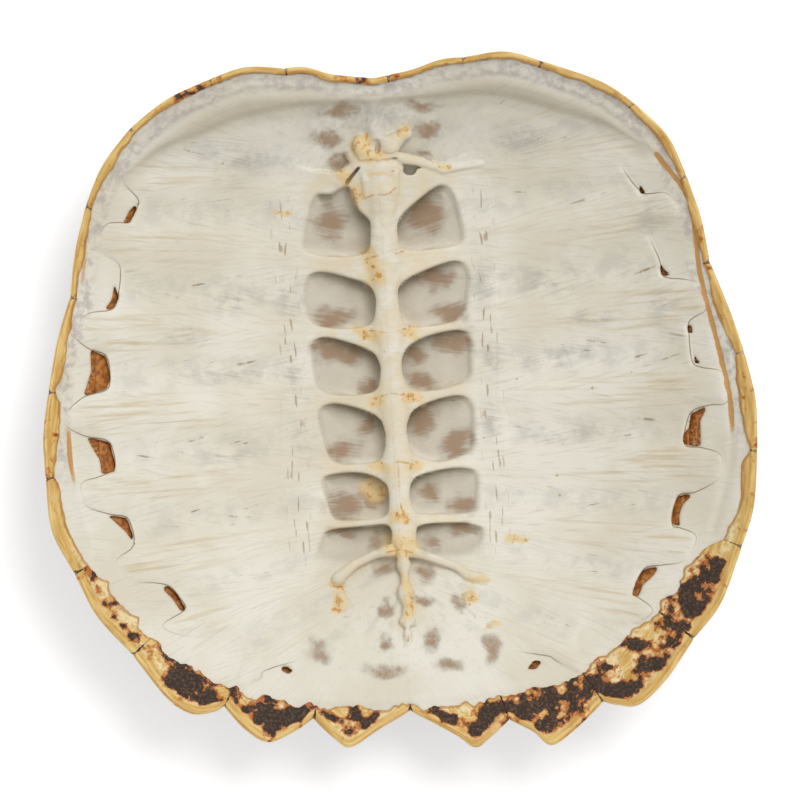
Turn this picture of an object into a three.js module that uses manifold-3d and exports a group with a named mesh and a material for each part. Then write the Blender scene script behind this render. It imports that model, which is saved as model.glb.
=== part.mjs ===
// Carapace of a snapping turtle, cleaned and dried, lying on its back with the hollow facing up.
// One fused bone, ribs and backbone grown into it, is roofed outside by thin plates of horn.
// Millimetres. +Z is up, +Y points to the neck end, and left and right are as seen looking down
// into the hollow. The origin is on the floor, under the middle of the crown.

import * as THREE from 'three';
import { mergeVertices } from 'three/addons/utils/BufferGeometryUtils.js';
import Module from 'manifold-3d';

const wasm = await Module();
wasm.setup();

// The dish that every layer follows
const HALF_WIDTH = 156;
const HALF_LENGTH = 150;
const OUTLINE_POWER = 2.5;
const RIM_HEIGHT = 72;
const NECK_DIP = 10;
const TAIL_DIP = 14;
const BOWL_SHARE = 0.7;
const TAIL_FLARE = 0.6;
const CROWN_LIFT = 1;

// Layers, as heights above the dish's outer face
const HORN = 1.5;
const GAP = 0.3;
const BONE_OUTSIDE = HORN + GAP;
const PLATE_INSIDE = 5.2;
const RIB_SHEET_INSIDE = 6.8;
const NECK_BAND_INSIDE = 8.4;
const BACKBONE_CREST = 20;
const ROOF_EDGE = 7.2;
const ROOF_RISE = 10.5;
const ROOF_THICK = 4.5;
const ROOF_REACH = 42;
const ROOF_CURVE = 1.4;
const ROOF_ROUNDING = 0.8;
const LIP_HORN = 1.2;
const BURIED = 3;

// Joints in the horn, and the horn's wrap around the rim, which is wider at the tail
const SEAM_GAP = 0.4;
const EDGE_HORN = 1.8;
const EDGE_GAP = 0.4;
const MARGINAL_WIDTH = 25;
const LIP_WIDTH = 5;
const TAIL_LIP_DEPTH = 17;
const TAIL_LIP_FROM = 0.3;
const TAIL_LIP_FULL = 0.62;

// Keel knobs on the outside: x, y, height, half width, half length
const KEEL_KNOBS = [
  [0, 94, 3.0, 9, 16],
  [0, 44, 3.4, 10, 18],
  [0, 0, 4.2, 22, 28],
  [0, -54, 3.6, 10, 18],
  [0, -92, 3.4, 9, 14],
  [-66, 68, 3.4, 10, 15],
  [-69, 14, 4.0, 11, 18],
  [-64, -40, 4.0, 11, 17],
  [-50, -84, 3.4, 9, 13],
  [68, 68, 3.4, 10, 15],
  [71, 14, 4.0, 11, 18],
  [66, -40, 4.0, 11, 17],
  [52, -86, 3.4, 9, 13],
];

// Edge of each marginal scute, from its front seam up to the next seam
const CERVICAL_LEFT = [-7.5, 146];
const CERVICAL_NOTCH = [-0.5, 145];
const CERVICAL_RIGHT = [6.5, 146];
const TAIL_NOTCH = [0.5, -135];
const LEFT_EDGES = [
  [CERVICAL_LEFT, [-18.5, 147.5], [-29.5, 151]],
  [[-39, 151], [-56, 152]],
  [[-72.5, 147.5], [-91.5, 139.5]],
  [[-108, 128], [-121, 112.5]],
  [[-129.5, 95.5], [-135.5, 75.5]],
  [[-139, 56], [-145.5, 37]],
  [[-150.5, 14.5], [-153.5, -4.5]],
  [[-153.5, -23.5], [-152, -46]],
  [[-143.5, -65.5], [-134.5, -85]],
  [[-120, -103], [-106, -122.5], [-95.5, -130], [-86, -130]],
  [[-81.5, -128], [-72.5, -138.5], [-63, -144.5], [-52.5, -141.5]],
  [[-42.5, -136], [-33.5, -145], [-26.5, -149], [-13.5, -142]],
];
const RIGHT_EDGES = [
  [CERVICAL_RIGHT, [16.5, 147.5], [29.5, 151]],
  [[40, 151.5], [58, 152.5]],
  [[74, 147.5], [99, 137]],
  [[113, 127], [127, 111.5]],
  [[134.5, 94], [140, 75.5]],
  [[143, 56], [150.5, 33.5]],
  [[155.5, 15], [159, -6.5]],
  [[158.5, -28.5], [155.5, -52.5]],
  [[149.5, -70], [139, -94]],
  [[126.5, -109], [113.5, -126], [101, -136.5], [91.5, -136.5]],
  [[85.5, -135], [72, -146.5], [61.5, -152.5], [54, -146.5]],
  [[44, -141], [34.5, -148.5], [28, -152], [19.5, -146]],
];

// Seams of the horn over the back: half width and place of each cross seam of the vertebral row,
// and of the corner between them where two costal scutes meet
const CROSS_SEAMS = [[36, 84], [38, 33], [36, -21], [29, -70]];
const COSTAL_CORNERS = [[47, 58], [47, 6], [43, -46]];
// Marginal scute (counted from 0) that each seam of the back runs out to
const SEAM_END_MARGINALS = [1, 4, 6, 8, 10];

// Fingers of the rib sheet: the points round each free rib end, neck to tail
const LEFT_RIB_ENDS = [
  [[-99, 104]],
  [[-115, 90], [-121.5, 86.5], [-127, 77.5], [-118, 71], [-112, 69]],
  [[-121, 50], [-132, 48], [-137.5, 41.5], [-132, 33], [-124, 29.5]],
  [[-125, 14], [-135.5, 11.5], [-143.5, 4.5], [-143.5, -0.5], [-135.5, -5.5], [-123, -8.5]],
  [[-123, -21.5], [-138, -26], [-138.5, -31], [-136.5, -36.5], [-118.5, -43]],
  [[-116, -56.5], [-124.5, -60.5], [-124.5, -65], [-119.5, -70.5], [-101.5, -72.5]],
  [[-97.5, -86], [-106.5, -91], [-99, -95.5], [-82.5, -98.5]],
  [[-70, -106], [-75.5, -119], [-65.5, -117], [-56, -108], [-38, -92]],
];
const RIGHT_RIB_ENDS = [
  [[98, 103]],
  [[118, 89], [126, 86.5], [130.5, 78], [120.5, 71], [115, 69]],
  [[129, 49], [138, 46], [141, 38.5], [133.5, 31], [127, 30]],
  [[133, 10], [145.5, 7], [147.5, 0.5], [146.5, -6.5], [131, -9.5]],
  [[129, -24], [142.5, -29], [143, -34.5], [141, -40], [123, -46]],
  [[121, -60], [129.5, -63.5], [130, -67], [124.5, -75], [106, -78]],
  [[101, -89], [110.5, -94.5], [109.5, -96.5], [100, -102], [82.5, -99]],
  [[76, -110], [75.5, -119.5], [66, -115], [56, -107], [38, -92]],
];
const RIB_SHEET_NECK = 118;
const TROUGH_HALF_WIDTH = 38;

// Openings left between the rib ends, where only horn closes the shell
const FONTANELLES = [
  [[-107, 96.5], [-109, 91.5], [-111.5, 87.5], [-114.5, 87], [-111, 93]],
  [[-119.5, 62], [-118.5, 54.5], [-121.5, 50], [-125, 49.5], [-121.5, 54]],
  [[-132, 32.5], [-125.5, 29], [-124, 19], [-126.5, 14.5], [-136, 12], [-132, 23]],
  [[-135.5, -6], [-126, -9], [-124, -20], [-125, -22], [-130, -23], [-130.5, -16.5], [-133.5, -11]],
  [[-128.5, -41], [-120.5, -43], [-119, -47.5], [-117.5, -54.5], [-121.5, -48.5]],
  [[-106.5, -75], [-104, -74], [-100, -78], [-96.5, -85], [-98.5, -86], [-102, -80]],
  [[121.5, 57.5], [122.5, 51], [127, 50.5], [123.5, 54]],
  [
    [139, -7.5], [131.5, -11], [131, -16.5], [128, -20], [127.5, -24],
    [135, -25.5], [134.5, -23], [135.5, -14],
  ],
  [[131.5, -45.5], [124, -47], [121.5, -52.5], [120.5, -59], [124, -60], [124, -55.5], [126, -50.5]],
  [[114, -77.5], [107, -78.5], [103.5, -84], [101.5, -89], [104, -90.5], [106.5, -85], [111, -81.5]],
];

// Pockets beside the backbone: medial front, medial rear, lateral rear and lateral front corners
const LEFT_POCKETS = [
  [[-7, 87], [-5, 70], [-36, 71], [-30, 96]],
  [[-5, 54], [-5, 37], [-36, 39], [-36, 61]],
  [[-5, 24], [-5, 7], [-34, 8], [-34.5, 32]],
  [[-4, -6], [-4.5, -24], [-31, -24], [-33.5, 2]],
  [[-4, -33], [-4.5, -49.5], [-31, -49], [-33, -30]],
  [[-4, -54], [-5, -64], [-34, -66], [-35, -54]],
];
const RIGHT_POCKETS = [
  [[6, 82], [6, 70], [36.5, 71], [31, 97]],
  [[5, 54], [6, 36], [35, 38], [38, 63]],
  [[6, 25], [5.5, 7], [36, 8], [37, 32]],
  [[6, -4], [7, -23], [36, -24], [36.5, 2]],
  [[6, -32], [6, -48.5], [36, -48.5], [37, -30]],
  [[6, -53], [6.5, -65], [35, -66], [36.5, -54]],
];
const FIRST_RIB_FRONT = [108, 104];
const RIB_HEAD_STATIONS = [[0.04, 4], [0.2, 1.2], [0.45, 0], [0.72, 0.6], [0.9, 3], [1, 7]];

// Backbone: joints between the vertebrae, and half widths there, at the waists and at the neck end
const VERTEBRA_JOINTS = [102, 67, 34, 4, -26.5, -50.5, -66];
const JOINT_HALF_WIDTH = 8;
const WAIST_HALF_WIDTH = 4.5;
const NECK_END = [[136, 2], [124, 3], [119, 9], [110, 11]];
const TAIL_END = [[-76, 3], [-86, 5.5], [-92, 2.5], [-101, 4.5], [-108, 2]];
const CREST_FALL = 12;
const CREST_LEVEL = [95, -52];
const CREST_RUN = 36;
const RIDGE_SHARE = 0.55;
const RIDGE_DROP = 3;

// Sacral ribs: x, y, half width and height of the stations from the backbone out
const SACRAL_RIBS = [
  [[-1, -65, 4, 15], [-14, -69, 2.5, 12], [-24, -74, 2.5, 10], [-34, -80, 3.5, 7]],
  [[3, -65, 4, 15], [18, -69.5, 2.5, 12], [28, -75, 2.5, 10], [38, -81, 3.5, 7]],
];
// Band across the neck end, along its rim side and back along its hollow side
const NECK_BAND_RIM = [
  [-112, 108], [-88, 127], [-70, 136], [-54, 140], [-22, 139.5], [0, 138.4],
  [22, 139.5], [47, 142], [81, 133], [111, 115],
];
const NECK_BAND_HOLLOW = [
  [117, 107.5], [81, 125], [64, 131], [46, 135], [0, 134.5], [-38, 135], [-78, 124],
];

// Rings of the draped skins inside the marginal scutes, as shares of the way out to them, and how
// many spokes of the outline each ring steps over
const BACK_RINGS = [[0.14, 4], [0.32, 2], [0.5, 2], [0.68, 2], [0.85, 1]];
const TALL = 200;

const BONE_COLOUR = 0xdcd6c6;
const BACK_HORN_COLOUR = 0x3d3122;
const RIM_HORN_COLOUR = 0xb98a3c;

// The dish

function smoothRadius(angle) {
  const across = Math.abs(Math.cos(angle) / HALF_WIDTH) ** OUTLINE_POWER;
  const along = Math.abs(Math.sin(angle) / HALF_LENGTH) ** OUTLINE_POWER;
  return (across + along) ** (-1 / OUTLINE_POWER);
}

function dish(x, y) {
  const angle = Math.atan2(y, x);
  const reach = Math.hypot(x, y) / smoothRadius(angle);
  const neck = Math.max(0, Math.sin(angle)) ** 3;
  const tail = Math.max(0, -Math.sin(angle)) ** 3;
  const rise = RIM_HEIGHT - NECK_DIP * neck - TAIL_DIP * tail - CROWN_LIFT;
  const round = BOWL_SHARE + TAIL_FLARE * tail;
  return CROWN_LIFT + rise * (round * reach ** 2 + (1 - round) * reach ** 4);
}

function keels(x, y) {
  let height = 0;
  for (const [cx, cy, tall, wide, long] of KEEL_KNOBS) {
    height += tall * Math.exp(-(((x - cx) / wide) ** 2) - ((y - cy) / long) ** 2);
  }
  return height;
}

const above = (height) => (x, y) => dish(x, y) + height;
const onHorn = (height) => (x, y) => Math.max(0, dish(x, y) - keels(x, y)) + height;

// Solids

function asSolid(geometry) {
  geometry.deleteAttribute('normal');
  geometry.deleteAttribute('uv');
  const merged = mergeVertices(geometry, 1e-4);
  return new wasm.Manifold(new wasm.Mesh({
    numProp: 3,
    vertProperties: new Float32Array(merged.attributes.position.array),
    triVerts: new Uint32Array(merged.index.array),
  }));
}

// Closes stacked rings of points into a solid, with flat ends.
// From the point numbered turned on, the sides are split along their other diagonal.
function loft(sections, turned = Infinity) {
  const size = sections[0].length;
  const positions = sections.flat(2);
  const indices = [];
  for (let row = 1; row < sections.length; row += 1) {
    for (let i = 0; i < size; i += 1) {
      const a = (row - 1) * size + i;
      const b = row * size + i;
      const step = ((i + 1) % size) - i;
      indices.push(a, b, i < turned ? b + step : a + step);
      indices.push(i < turned ? a : b, b + step, a + step);
    }
  }
  const last = (sections.length - 1) * size;
  const end = flattened(sections[0]);
  const clockwise = THREE.ShapeUtils.isClockWise(end);
  for (const [a, b, c] of THREE.ShapeUtils.triangulateShape(end, [])) {
    indices.push(a, clockwise ? c : b, clockwise ? b : c);
    indices.push(last + a, last + (clockwise ? b : c), last + (clockwise ? c : b));
  }
  const solid = solidOf(positions, indices);
  return solid.volume() > 0 ? solid : solidOf(positions, indices.reverse());
}

// The outline of a section seen square on, for closing its ends
function flattened(section) {
  const [first, second, third] = section.map((point) => new THREE.Vector3(...point));
  const across = second.clone().sub(first).normalize();
  const normal = across.clone().cross(third.clone().sub(first)).normalize();
  const up = normal.clone().cross(across);
  return section.map((point) => {
    const offset = new THREE.Vector3(...point).sub(first);
    return new THREE.Vector2(offset.dot(across), offset.dot(up));
  });
}

function solidOf(positions, indices) {
  const geometry = new THREE.BufferGeometry();
  geometry.setAttribute('position', new THREE.Float32BufferAttribute(positions, 3));
  geometry.setIndex(indices);
  return asSolid(geometry);
}

// A layer of the dish between two heights, out to the last of the given rings.
// Every layer shares one grid, so two layers keep the same gap everywhere.
function layer(low, high, rings) {
  const spokes = outline.length;
  const positions = [];
  const indices = [];
  const perSkin = 1 + rings.length * spokes;
  for (const skin of [low, high]) {
    positions.push(0, 0, skin(0, 0));
    for (const { points } of rings) {
      for (const [x, y] of points) positions.push(x, y, skin(x, y));
    }
  }
  const at = (ring, spoke) => 1 + ring * spokes + (spoke % spokes);
  const face = (a, b, c) => {
    indices.push(a, c, b);
    indices.push(a + perSkin, b + perSkin, c + perSkin);
  };
  rings.forEach(({ step }, ring) => {
    const wide = ring > 0 ? rings[ring - 1].step : step;
    for (let spoke = 0; spoke < spokes; spoke += wide) {
      const near = ring > 0 ? at(ring - 1, spoke) : 0;
      const half = at(ring, spoke + step);
      face(near, at(ring, spoke), half);
      if (ring > 0) face(near, half, at(ring - 1, spoke + wide));
      if (wide > step) face(at(ring - 1, spoke + wide), half, at(ring, spoke + wide));
    }
  });
  for (let spoke = 0; spoke < spokes; spoke += 1) {
    const a = at(rings.length - 1, spoke);
    const b = at(rings.length - 1, spoke + 1);
    indices.push(a, b, b + perSkin);
    indices.push(a, b + perSkin, a + perSkin);
  }
  return solidOf(positions, indices);
}

function shapeOf(points) {
  return new THREE.Shape(points.map(([x, y]) => new THREE.Vector2(x, y)));
}

// An upright block of the given outline, taller than the shell
function block(points) {
  const geometry = new THREE.ExtrudeGeometry(shapeOf(points), { depth: TALL, bevelEnabled: false });
  geometry.translate(0, 0, -TALL / 4);
  return asSolid(geometry);
}

// Moves a point of a ring towards the middle of the shell
function pulledIn([x, y], distance) {
  const keep = 1 - distance / Math.hypot(x, y);
  return [x * keep, y * keep];
}

// Shrinks an outline by moving each side in by the same distance
function inset(points, distance) {
  const turn = THREE.ShapeUtils.area(points.map(([x, y]) => new THREE.Vector2(x, y))) > 0 ? 1 : -1;
  const normal = ([ax, ay], [bx, by]) => {
    const length = Math.hypot(bx - ax, by - ay);
    return [(-turn * (by - ay)) / length, (turn * (bx - ax)) / length];
  };
  return points.map((point, i) => {
    const before = normal(points[(i + points.length - 1) % points.length], point);
    const after = normal(point, points[(i + 1) % points.length]);
    const share = distance / (1 + before[0] * after[0] + before[1] * after[1]);
    return [point[0] + (before[0] + after[0]) * share, point[1] + (before[1] + after[1]) * share];
  });
}

function meshOf(name, solid, colour, roughness) {
  const found = solid.getMesh();
  const geometry = new THREE.BufferGeometry();
  geometry.setAttribute('position', new THREE.Float32BufferAttribute(found.vertProperties, 3));
  geometry.setIndex([...found.triVerts]);
  geometry.computeVertexNormals();
  const material = new THREE.MeshStandardMaterial({ color: colour, roughness, metalness: 0 });
  const mesh = new THREE.Mesh(geometry, material);
  mesh.name = name;
  return mesh;
}

// The rim and the rings of the grid inside it

const outline = [
  CERVICAL_RIGHT,
  CERVICAL_NOTCH,
  ...LEFT_EDGES.flat(),
  TAIL_NOTCH,
  ...RIGHT_EDGES.flat().slice(1).reverse(),
];

const spread = (radius) => outline.map(([x, y]) => {
  const angle = Math.atan2(y, x);
  const reach = radius(Math.hypot(x, y), angle);
  return [reach * Math.cos(angle), reach * Math.sin(angle)];
});

function lipRadius(edge, angle) {
  const tail = THREE.MathUtils.smoothstep(-Math.sin(angle), TAIL_LIP_FROM, TAIL_LIP_FULL);
  return THREE.MathUtils.lerp(edge - LIP_WIDTH, smoothRadius(angle) - TAIL_LIP_DEPTH, tail);
}

const seamRing = spread((edge, angle) => smoothRadius(angle) - MARGINAL_WIDTH);
const lipRing = spread(lipRadius);
const coreRing = spread((edge) => edge - EDGE_HORN);
const boneRing = spread((edge) => edge - EDGE_HORN - EDGE_GAP);
const backRings = BACK_RINGS.map(([share, step]) => ({
  points: spread((edge, angle) => share * (smoothRadius(angle) - MARGINAL_WIDTH)),
  step,
}));
backRings.push({ points: seamRing, step: 1 });
const boneRings = [...backRings, { points: lipRing, step: 1 }, { points: boneRing, step: 1 }];

// Bony carapace

function ribSheet(ribEnds, side) {
  const inner = side * TROUGH_HALF_WIDTH;
  const points = [[inner, RIB_SHEET_NECK], ...ribEnds.flat()];
  return layer(above(BURIED), above(RIB_SHEET_INSIDE), boneRings).intersect(block(points));
}

const crest = (y) => {
  const past = Math.max(y - CREST_LEVEL[0], CREST_LEVEL[1] - y, 0);
  return dish(0, y) + BACKBONE_CREST - CREST_FALL * Math.min(1, past / CREST_RUN);
};

// Rib heads: bars that rise from the rib sheet to the backbone, one in front of each pocket
function ribHeads(pockets, side) {
  const roof = (x, y) => {
    const out = Math.min(1, Math.abs(x) / ROOF_REACH);
    return dish(x, y) + ROOF_EDGE + ROOF_RISE * (1 - out) ** ROOF_CURVE;
  };
  return pockets.map(([medialFront, , , lateralFront], i) => {
    const [, medialRear, lateralRear] = pockets[Math.max(i - 1, 0)];
    const front = i > 0 ? [medialRear[1], lateralRear[1]] : FIRST_RIB_FRONT;
    return loft(RIB_HEAD_STATIONS.map(([share, flare]) => {
      const x = side * share * ROOF_REACH;
      const from = THREE.MathUtils.lerp(front[0], front[1], share) + flare;
      const to = THREE.MathUtils.lerp(medialFront[1], lateralFront[1], share) - flare;
      const middle = (from + to) / 2;
      return [
        [x, from, roof(x, from) - ROOF_THICK],
        [x, to, roof(x, to) - ROOF_THICK],
        [x, to, roof(x, to) - ROOF_ROUNDING],
        [x, middle, roof(x, middle)],
        [x, from, roof(x, from) - ROOF_ROUNDING],
      ];
    }));
  });
}

function backbone() {
  const stations = [...NECK_END];
  VERTEBRA_JOINTS.forEach((y, i) => {
    stations.push([y, JOINT_HALF_WIDTH]);
    if (i + 1 < VERTEBRA_JOINTS.length) {
      stations.push([(y + VERTEBRA_JOINTS[i + 1]) / 2, WAIST_HALF_WIDTH]);
    }
  });
  stations.push(...TAIL_END);
  return loft(stations.map(([y, half]) => {
    const foot = dish(0, y) + BURIED;
    const ridge = half * RIDGE_SHARE;
    return [
      [-half, y, foot],
      [half, y, foot],
      [half, y, crest(y) - RIDGE_DROP],
      [ridge, y, crest(y)],
      [-ridge, y, crest(y)],
      [-half, y, crest(y) - RIDGE_DROP],
    ];
  }));
}

// A sacral rib: a bar from the backbone out and down to the plate
function sacralRib(points) {
  return loft(points.map(([x, y, half, rise]) => {
    const foot = dish(x, y) + BURIED;
    const top = dish(x, y) + rise;
    const shoulder = top - ROOF_ROUNDING;
    return [
      [x, y - half, foot],
      [x, y + half, foot],
      [x, y + half, shoulder],
      [x, y, top],
      [x, y - half, shoulder],
    ];
  }));
}

function bonyCarapace() {
  let solid = layer(onHorn(BONE_OUTSIDE), above(PLATE_INSIDE), boneRings);
  const neckBand = block([...NECK_BAND_RIM, ...NECK_BAND_HOLLOW]);
  const added = [
    ribSheet(LEFT_RIB_ENDS, -1),
    ribSheet(RIGHT_RIB_ENDS, 1),
    layer(above(BURIED), above(NECK_BAND_INSIDE), boneRings).intersect(neckBand),
    backbone(),
    ...ribHeads(LEFT_POCKETS, -1),
    ...ribHeads(RIGHT_POCKETS, 1),
    ...SACRAL_RIBS.map(sacralRib),
  ];
  for (const piece of added) solid = solid.add(piece);
  for (const points of FONTANELLES) solid = solid.subtract(block(points));
  return solid;
}

// Horn scutes

// A marginal scute wraps the rim: a skin outside, the edge, and a lip turned over the bone inside.
// It runs from one spoke of the grid to another, less half a seam at each end, and its faces against
// the bone are split as the bone is.
const SKIN_UNDERSIDE = 7;
function marginalScute(from, to) {
  const sections = [];
  for (let spoke = from; spoke <= to; spoke += 1) {
    const i = spoke % outline.length;
    const [ex, ey] = outline[i];
    const reach = Math.hypot(ex, ey);
    const shift = (spoke === from ? SEAM_GAP / 2 : 0) - (spoke === to ? SEAM_GAP / 2 : 0);
    const place = ([x, y], height) => [
      x - (shift * ey) / reach,
      y + (shift * ex) / reach,
      height(x, y),
    ];
    const inner = pulledIn(seamRing[i], -SEAM_GAP / 2);
    sections.push([
      place(inner, onHorn(0)),
      place(lipRing[i], onHorn(0)),
      place(outline[i], onHorn(0)),
      place(outline[i], above(PLATE_INSIDE + GAP + LIP_HORN)),
      place(lipRing[i], above(PLATE_INSIDE + GAP + LIP_HORN)),
      place(lipRing[i], above(PLATE_INSIDE + GAP)),
      place(coreRing[i], above(PLATE_INSIDE + GAP)),
      place(coreRing[i], onHorn(HORN)),
      place(lipRing[i], onHorn(HORN)),
      place(inner, onHorn(HORN)),
    ]);
  }
  return loft(sections, SKIN_UNDERSIDE);
}

const bone = new THREE.Group();
bone.add(meshOf('bony_carapace', bonyCarapace(), BONE_COLOUR, 0.7));

const rimHorn = new THREE.Group();
const spokeOf = (point) => outline.indexOf(point);
const cervical = marginalScute(spokeOf(CERVICAL_RIGHT), spokeOf(CERVICAL_LEFT));
rimHorn.add(meshOf('cervical_scute', cervical, RIM_HORN_COLOUR, 0.45));
const leftSeams = [...LEFT_EDGES.map((edge) => spokeOf(edge[0])), spokeOf(TAIL_NOTCH)];
const rightSeams = [
  outline.length,
  ...RIGHT_EDGES.slice(1).map((edge) => spokeOf(edge[0])),
  spokeOf(TAIL_NOTCH),
];
for (let i = 0; i < LEFT_EDGES.length; i += 1) {
  const left = marginalScute(leftSeams[i], leftSeams[i + 1]);
  const right = marginalScute(rightSeams[i + 1], rightSeams[i]);
  rimHorn.add(meshOf(`marginal_scute_left_${i + 1}`, left, RIM_HORN_COLOUR, 0.45));
  rimHorn.add(meshOf(`marginal_scute_right_${i + 1}`, right, RIM_HORN_COLOUR, 0.45));
}

const backHorn = new THREE.Group();
const hornSkin = layer(onHorn(0), onHorn(HORN), backRings);
const backScute = (points) => hornSkin.intersect(block(inset(points, SEAM_GAP / 2)));
const mirrored = ([x, y]) => [-x, y];

// Spokes where the seams between the scutes of the back run out to the marginal scutes, neck to tail
const seamEnds = {
  left: SEAM_END_MARGINALS.map((i) => leftSeams[i] + 1),
  right: SEAM_END_MARGINALS.map((i) => rightSeams[i] - 1),
};
const along = (from, to) => seamRing.slice(Math.min(from, to), Math.max(from, to) + 1);

// Vertebral scutes, down the middle of the back
for (let i = 0; i < 5; i += 1) {
  const right = [];
  if (i > 0) right.push(CROSS_SEAMS[i - 1]);
  if (i > 0 && i < 4) right.push(COSTAL_CORNERS[i - 1]);
  if (i < 4) right.push(CROSS_SEAMS[i]);
  const left = right.map(mirrored).reverse();
  const neckEdge = [...seamRing.slice(seamEnds.right[0]), ...along(0, seamEnds.left[0])];
  const tailEdge = along(seamEnds.left[4], seamEnds.right[4]);
  const points = [
    ...(i === 0 ? neckEdge : []),
    ...left.reverse(),
    ...(i === 4 ? tailEdge : []),
    ...right.reverse(),
  ];
  backHorn.add(meshOf(`vertebral_scute_${i + 1}`, backScute(points), BACK_HORN_COLOUR, 0.6));
}

// Costal scutes, over the ribs on each side
for (const side of ['left', 'right']) {
  const own = side === 'left' ? mirrored : (point) => point;
  for (let i = 0; i < 4; i += 1) {
    const middle = [];
    if (i > 0) middle.push(own(COSTAL_CORNERS[i - 1]));
    middle.push(own(CROSS_SEAMS[i]));
    if (i < 3) middle.push(own(COSTAL_CORNERS[i]));
    const rim = along(seamEnds[side][i], seamEnds[side][i + 1]);
    const points = side === 'left' ? [...middle.reverse(), ...rim] : [...middle, ...rim];
    backHorn.add(meshOf(`costal_scute_${side}_${i + 1}`, backScute(points), BACK_HORN_COLOUR, 0.6));
  }
}

const shell = new THREE.Group();
shell.add(bone, rimHorn, backHorn);

export default shell;
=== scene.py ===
import math

import bpy
import numpy as np
import openvdb
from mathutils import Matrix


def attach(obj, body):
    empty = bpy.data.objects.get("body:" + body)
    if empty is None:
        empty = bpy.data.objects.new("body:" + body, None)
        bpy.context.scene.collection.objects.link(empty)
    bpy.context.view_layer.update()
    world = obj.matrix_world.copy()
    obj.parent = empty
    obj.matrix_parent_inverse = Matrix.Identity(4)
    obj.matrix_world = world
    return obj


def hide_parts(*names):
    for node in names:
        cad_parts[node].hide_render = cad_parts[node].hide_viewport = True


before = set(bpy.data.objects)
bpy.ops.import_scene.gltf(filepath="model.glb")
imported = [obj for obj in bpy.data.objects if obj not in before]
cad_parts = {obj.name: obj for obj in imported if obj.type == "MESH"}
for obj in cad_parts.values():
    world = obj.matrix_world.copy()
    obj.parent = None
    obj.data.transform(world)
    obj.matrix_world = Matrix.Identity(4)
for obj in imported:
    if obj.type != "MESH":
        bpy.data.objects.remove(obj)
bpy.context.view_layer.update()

# Bony carapace: rib plates, rim plates and neck plate, grown together into one dry, chalky bowl.
# The ribs run out from the backbone as low fibrous ridges and end in free fingers, which lie in the
# rim plates. Openings are left between the fingers. Lengths are millimetres until a mesh is made.
HALF_WIDTH = 156
HALF_LENGTH = 150
OUTLINE_POWER = 2.5
RIM_HEIGHT = 72
NECK_DIP = 10
TAIL_DIP = 14
BOWL_SHARE = 0.7
TAIL_FLARE = 0.6
CROWN_LIFT = 1
KEEL_KNOBS = [
    (0, 94, 3.0, 9, 16), (0, 44, 3.4, 10, 18), (0, 0, 4.2, 22, 28), (0, -54, 3.6, 10, 18),
    (0, -92, 3.4, 9, 14), (-66, 68, 3.4, 10, 15), (-69, 14, 4.0, 11, 18), (-64, -40, 4.0, 11, 17),
    (-50, -84, 3.4, 9, 13), (68, 68, 3.4, 10, 15), (71, 14, 4.0, 11, 18), (66, -40, 4.0, 11, 17),
    (52, -86, 3.4, 9, 13),
]
HORN = 1.5
GAP = 0.3
PLATE_INSIDE = 5.2
LIP_HORN = 1.2
LIP_WIDTH = 5
TAIL_LIP_DEPTH = 17
TAIL_LIP_FROM = 0.3
TAIL_LIP_FULL = 0.62
BONE_EDGE_INSET = 2.2

# The rim, as one list of edge points for each marginal scute, starting at its seam nearer the neck
CERVICAL_EDGE = [(6.5, 146), (-0.5, 145), (-7.5, 146)]
LEFT_EDGES = [
    [(-7.5, 146), (-18.5, 147.5), (-29.5, 151)], [(-39, 151), (-56, 152)],
    [(-72.5, 147.5), (-91.5, 139.5)], [(-108, 128), (-121, 112.5)], [(-129.5, 95.5), (-135.5, 75.5)],
    [(-139, 56), (-145.5, 37)], [(-150.5, 14.5), (-153.5, -4.5)], [(-153.5, -23.5), (-152, -46)],
    [(-143.5, -65.5), (-134.5, -85)], [(-120, -103), (-106, -122.5), (-95.5, -130), (-86, -130)],
    [(-81.5, -128), (-72.5, -138.5), (-63, -144.5), (-52.5, -141.5)],
    [(-42.5, -136), (-33.5, -145), (-26.5, -149), (-13.5, -142)],
]
RIGHT_EDGES = [
    [(6.5, 146), (16.5, 147.5), (29.5, 151)], [(40, 151.5), (58, 152.5)],
    [(74, 147.5), (99, 137)], [(113, 127), (127, 111.5)], [(134.5, 94), (140, 75.5)],
    [(143, 56), (150.5, 33.5)], [(155.5, 15), (159, -6.5)], [(158.5, -28.5), (155.5, -52.5)],
    [(149.5, -70), (139, -94)], [(126.5, -109), (113.5, -126), (101, -136.5), (91.5, -136.5)],
    [(85.5, -135), (72, -146.5), (61.5, -152.5), (54, -146.5)],
    [(44, -141), (34.5, -148.5), (28, -152), (19.5, -146)],
]
TAIL_NOTCH = (0.5, -135)

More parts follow.
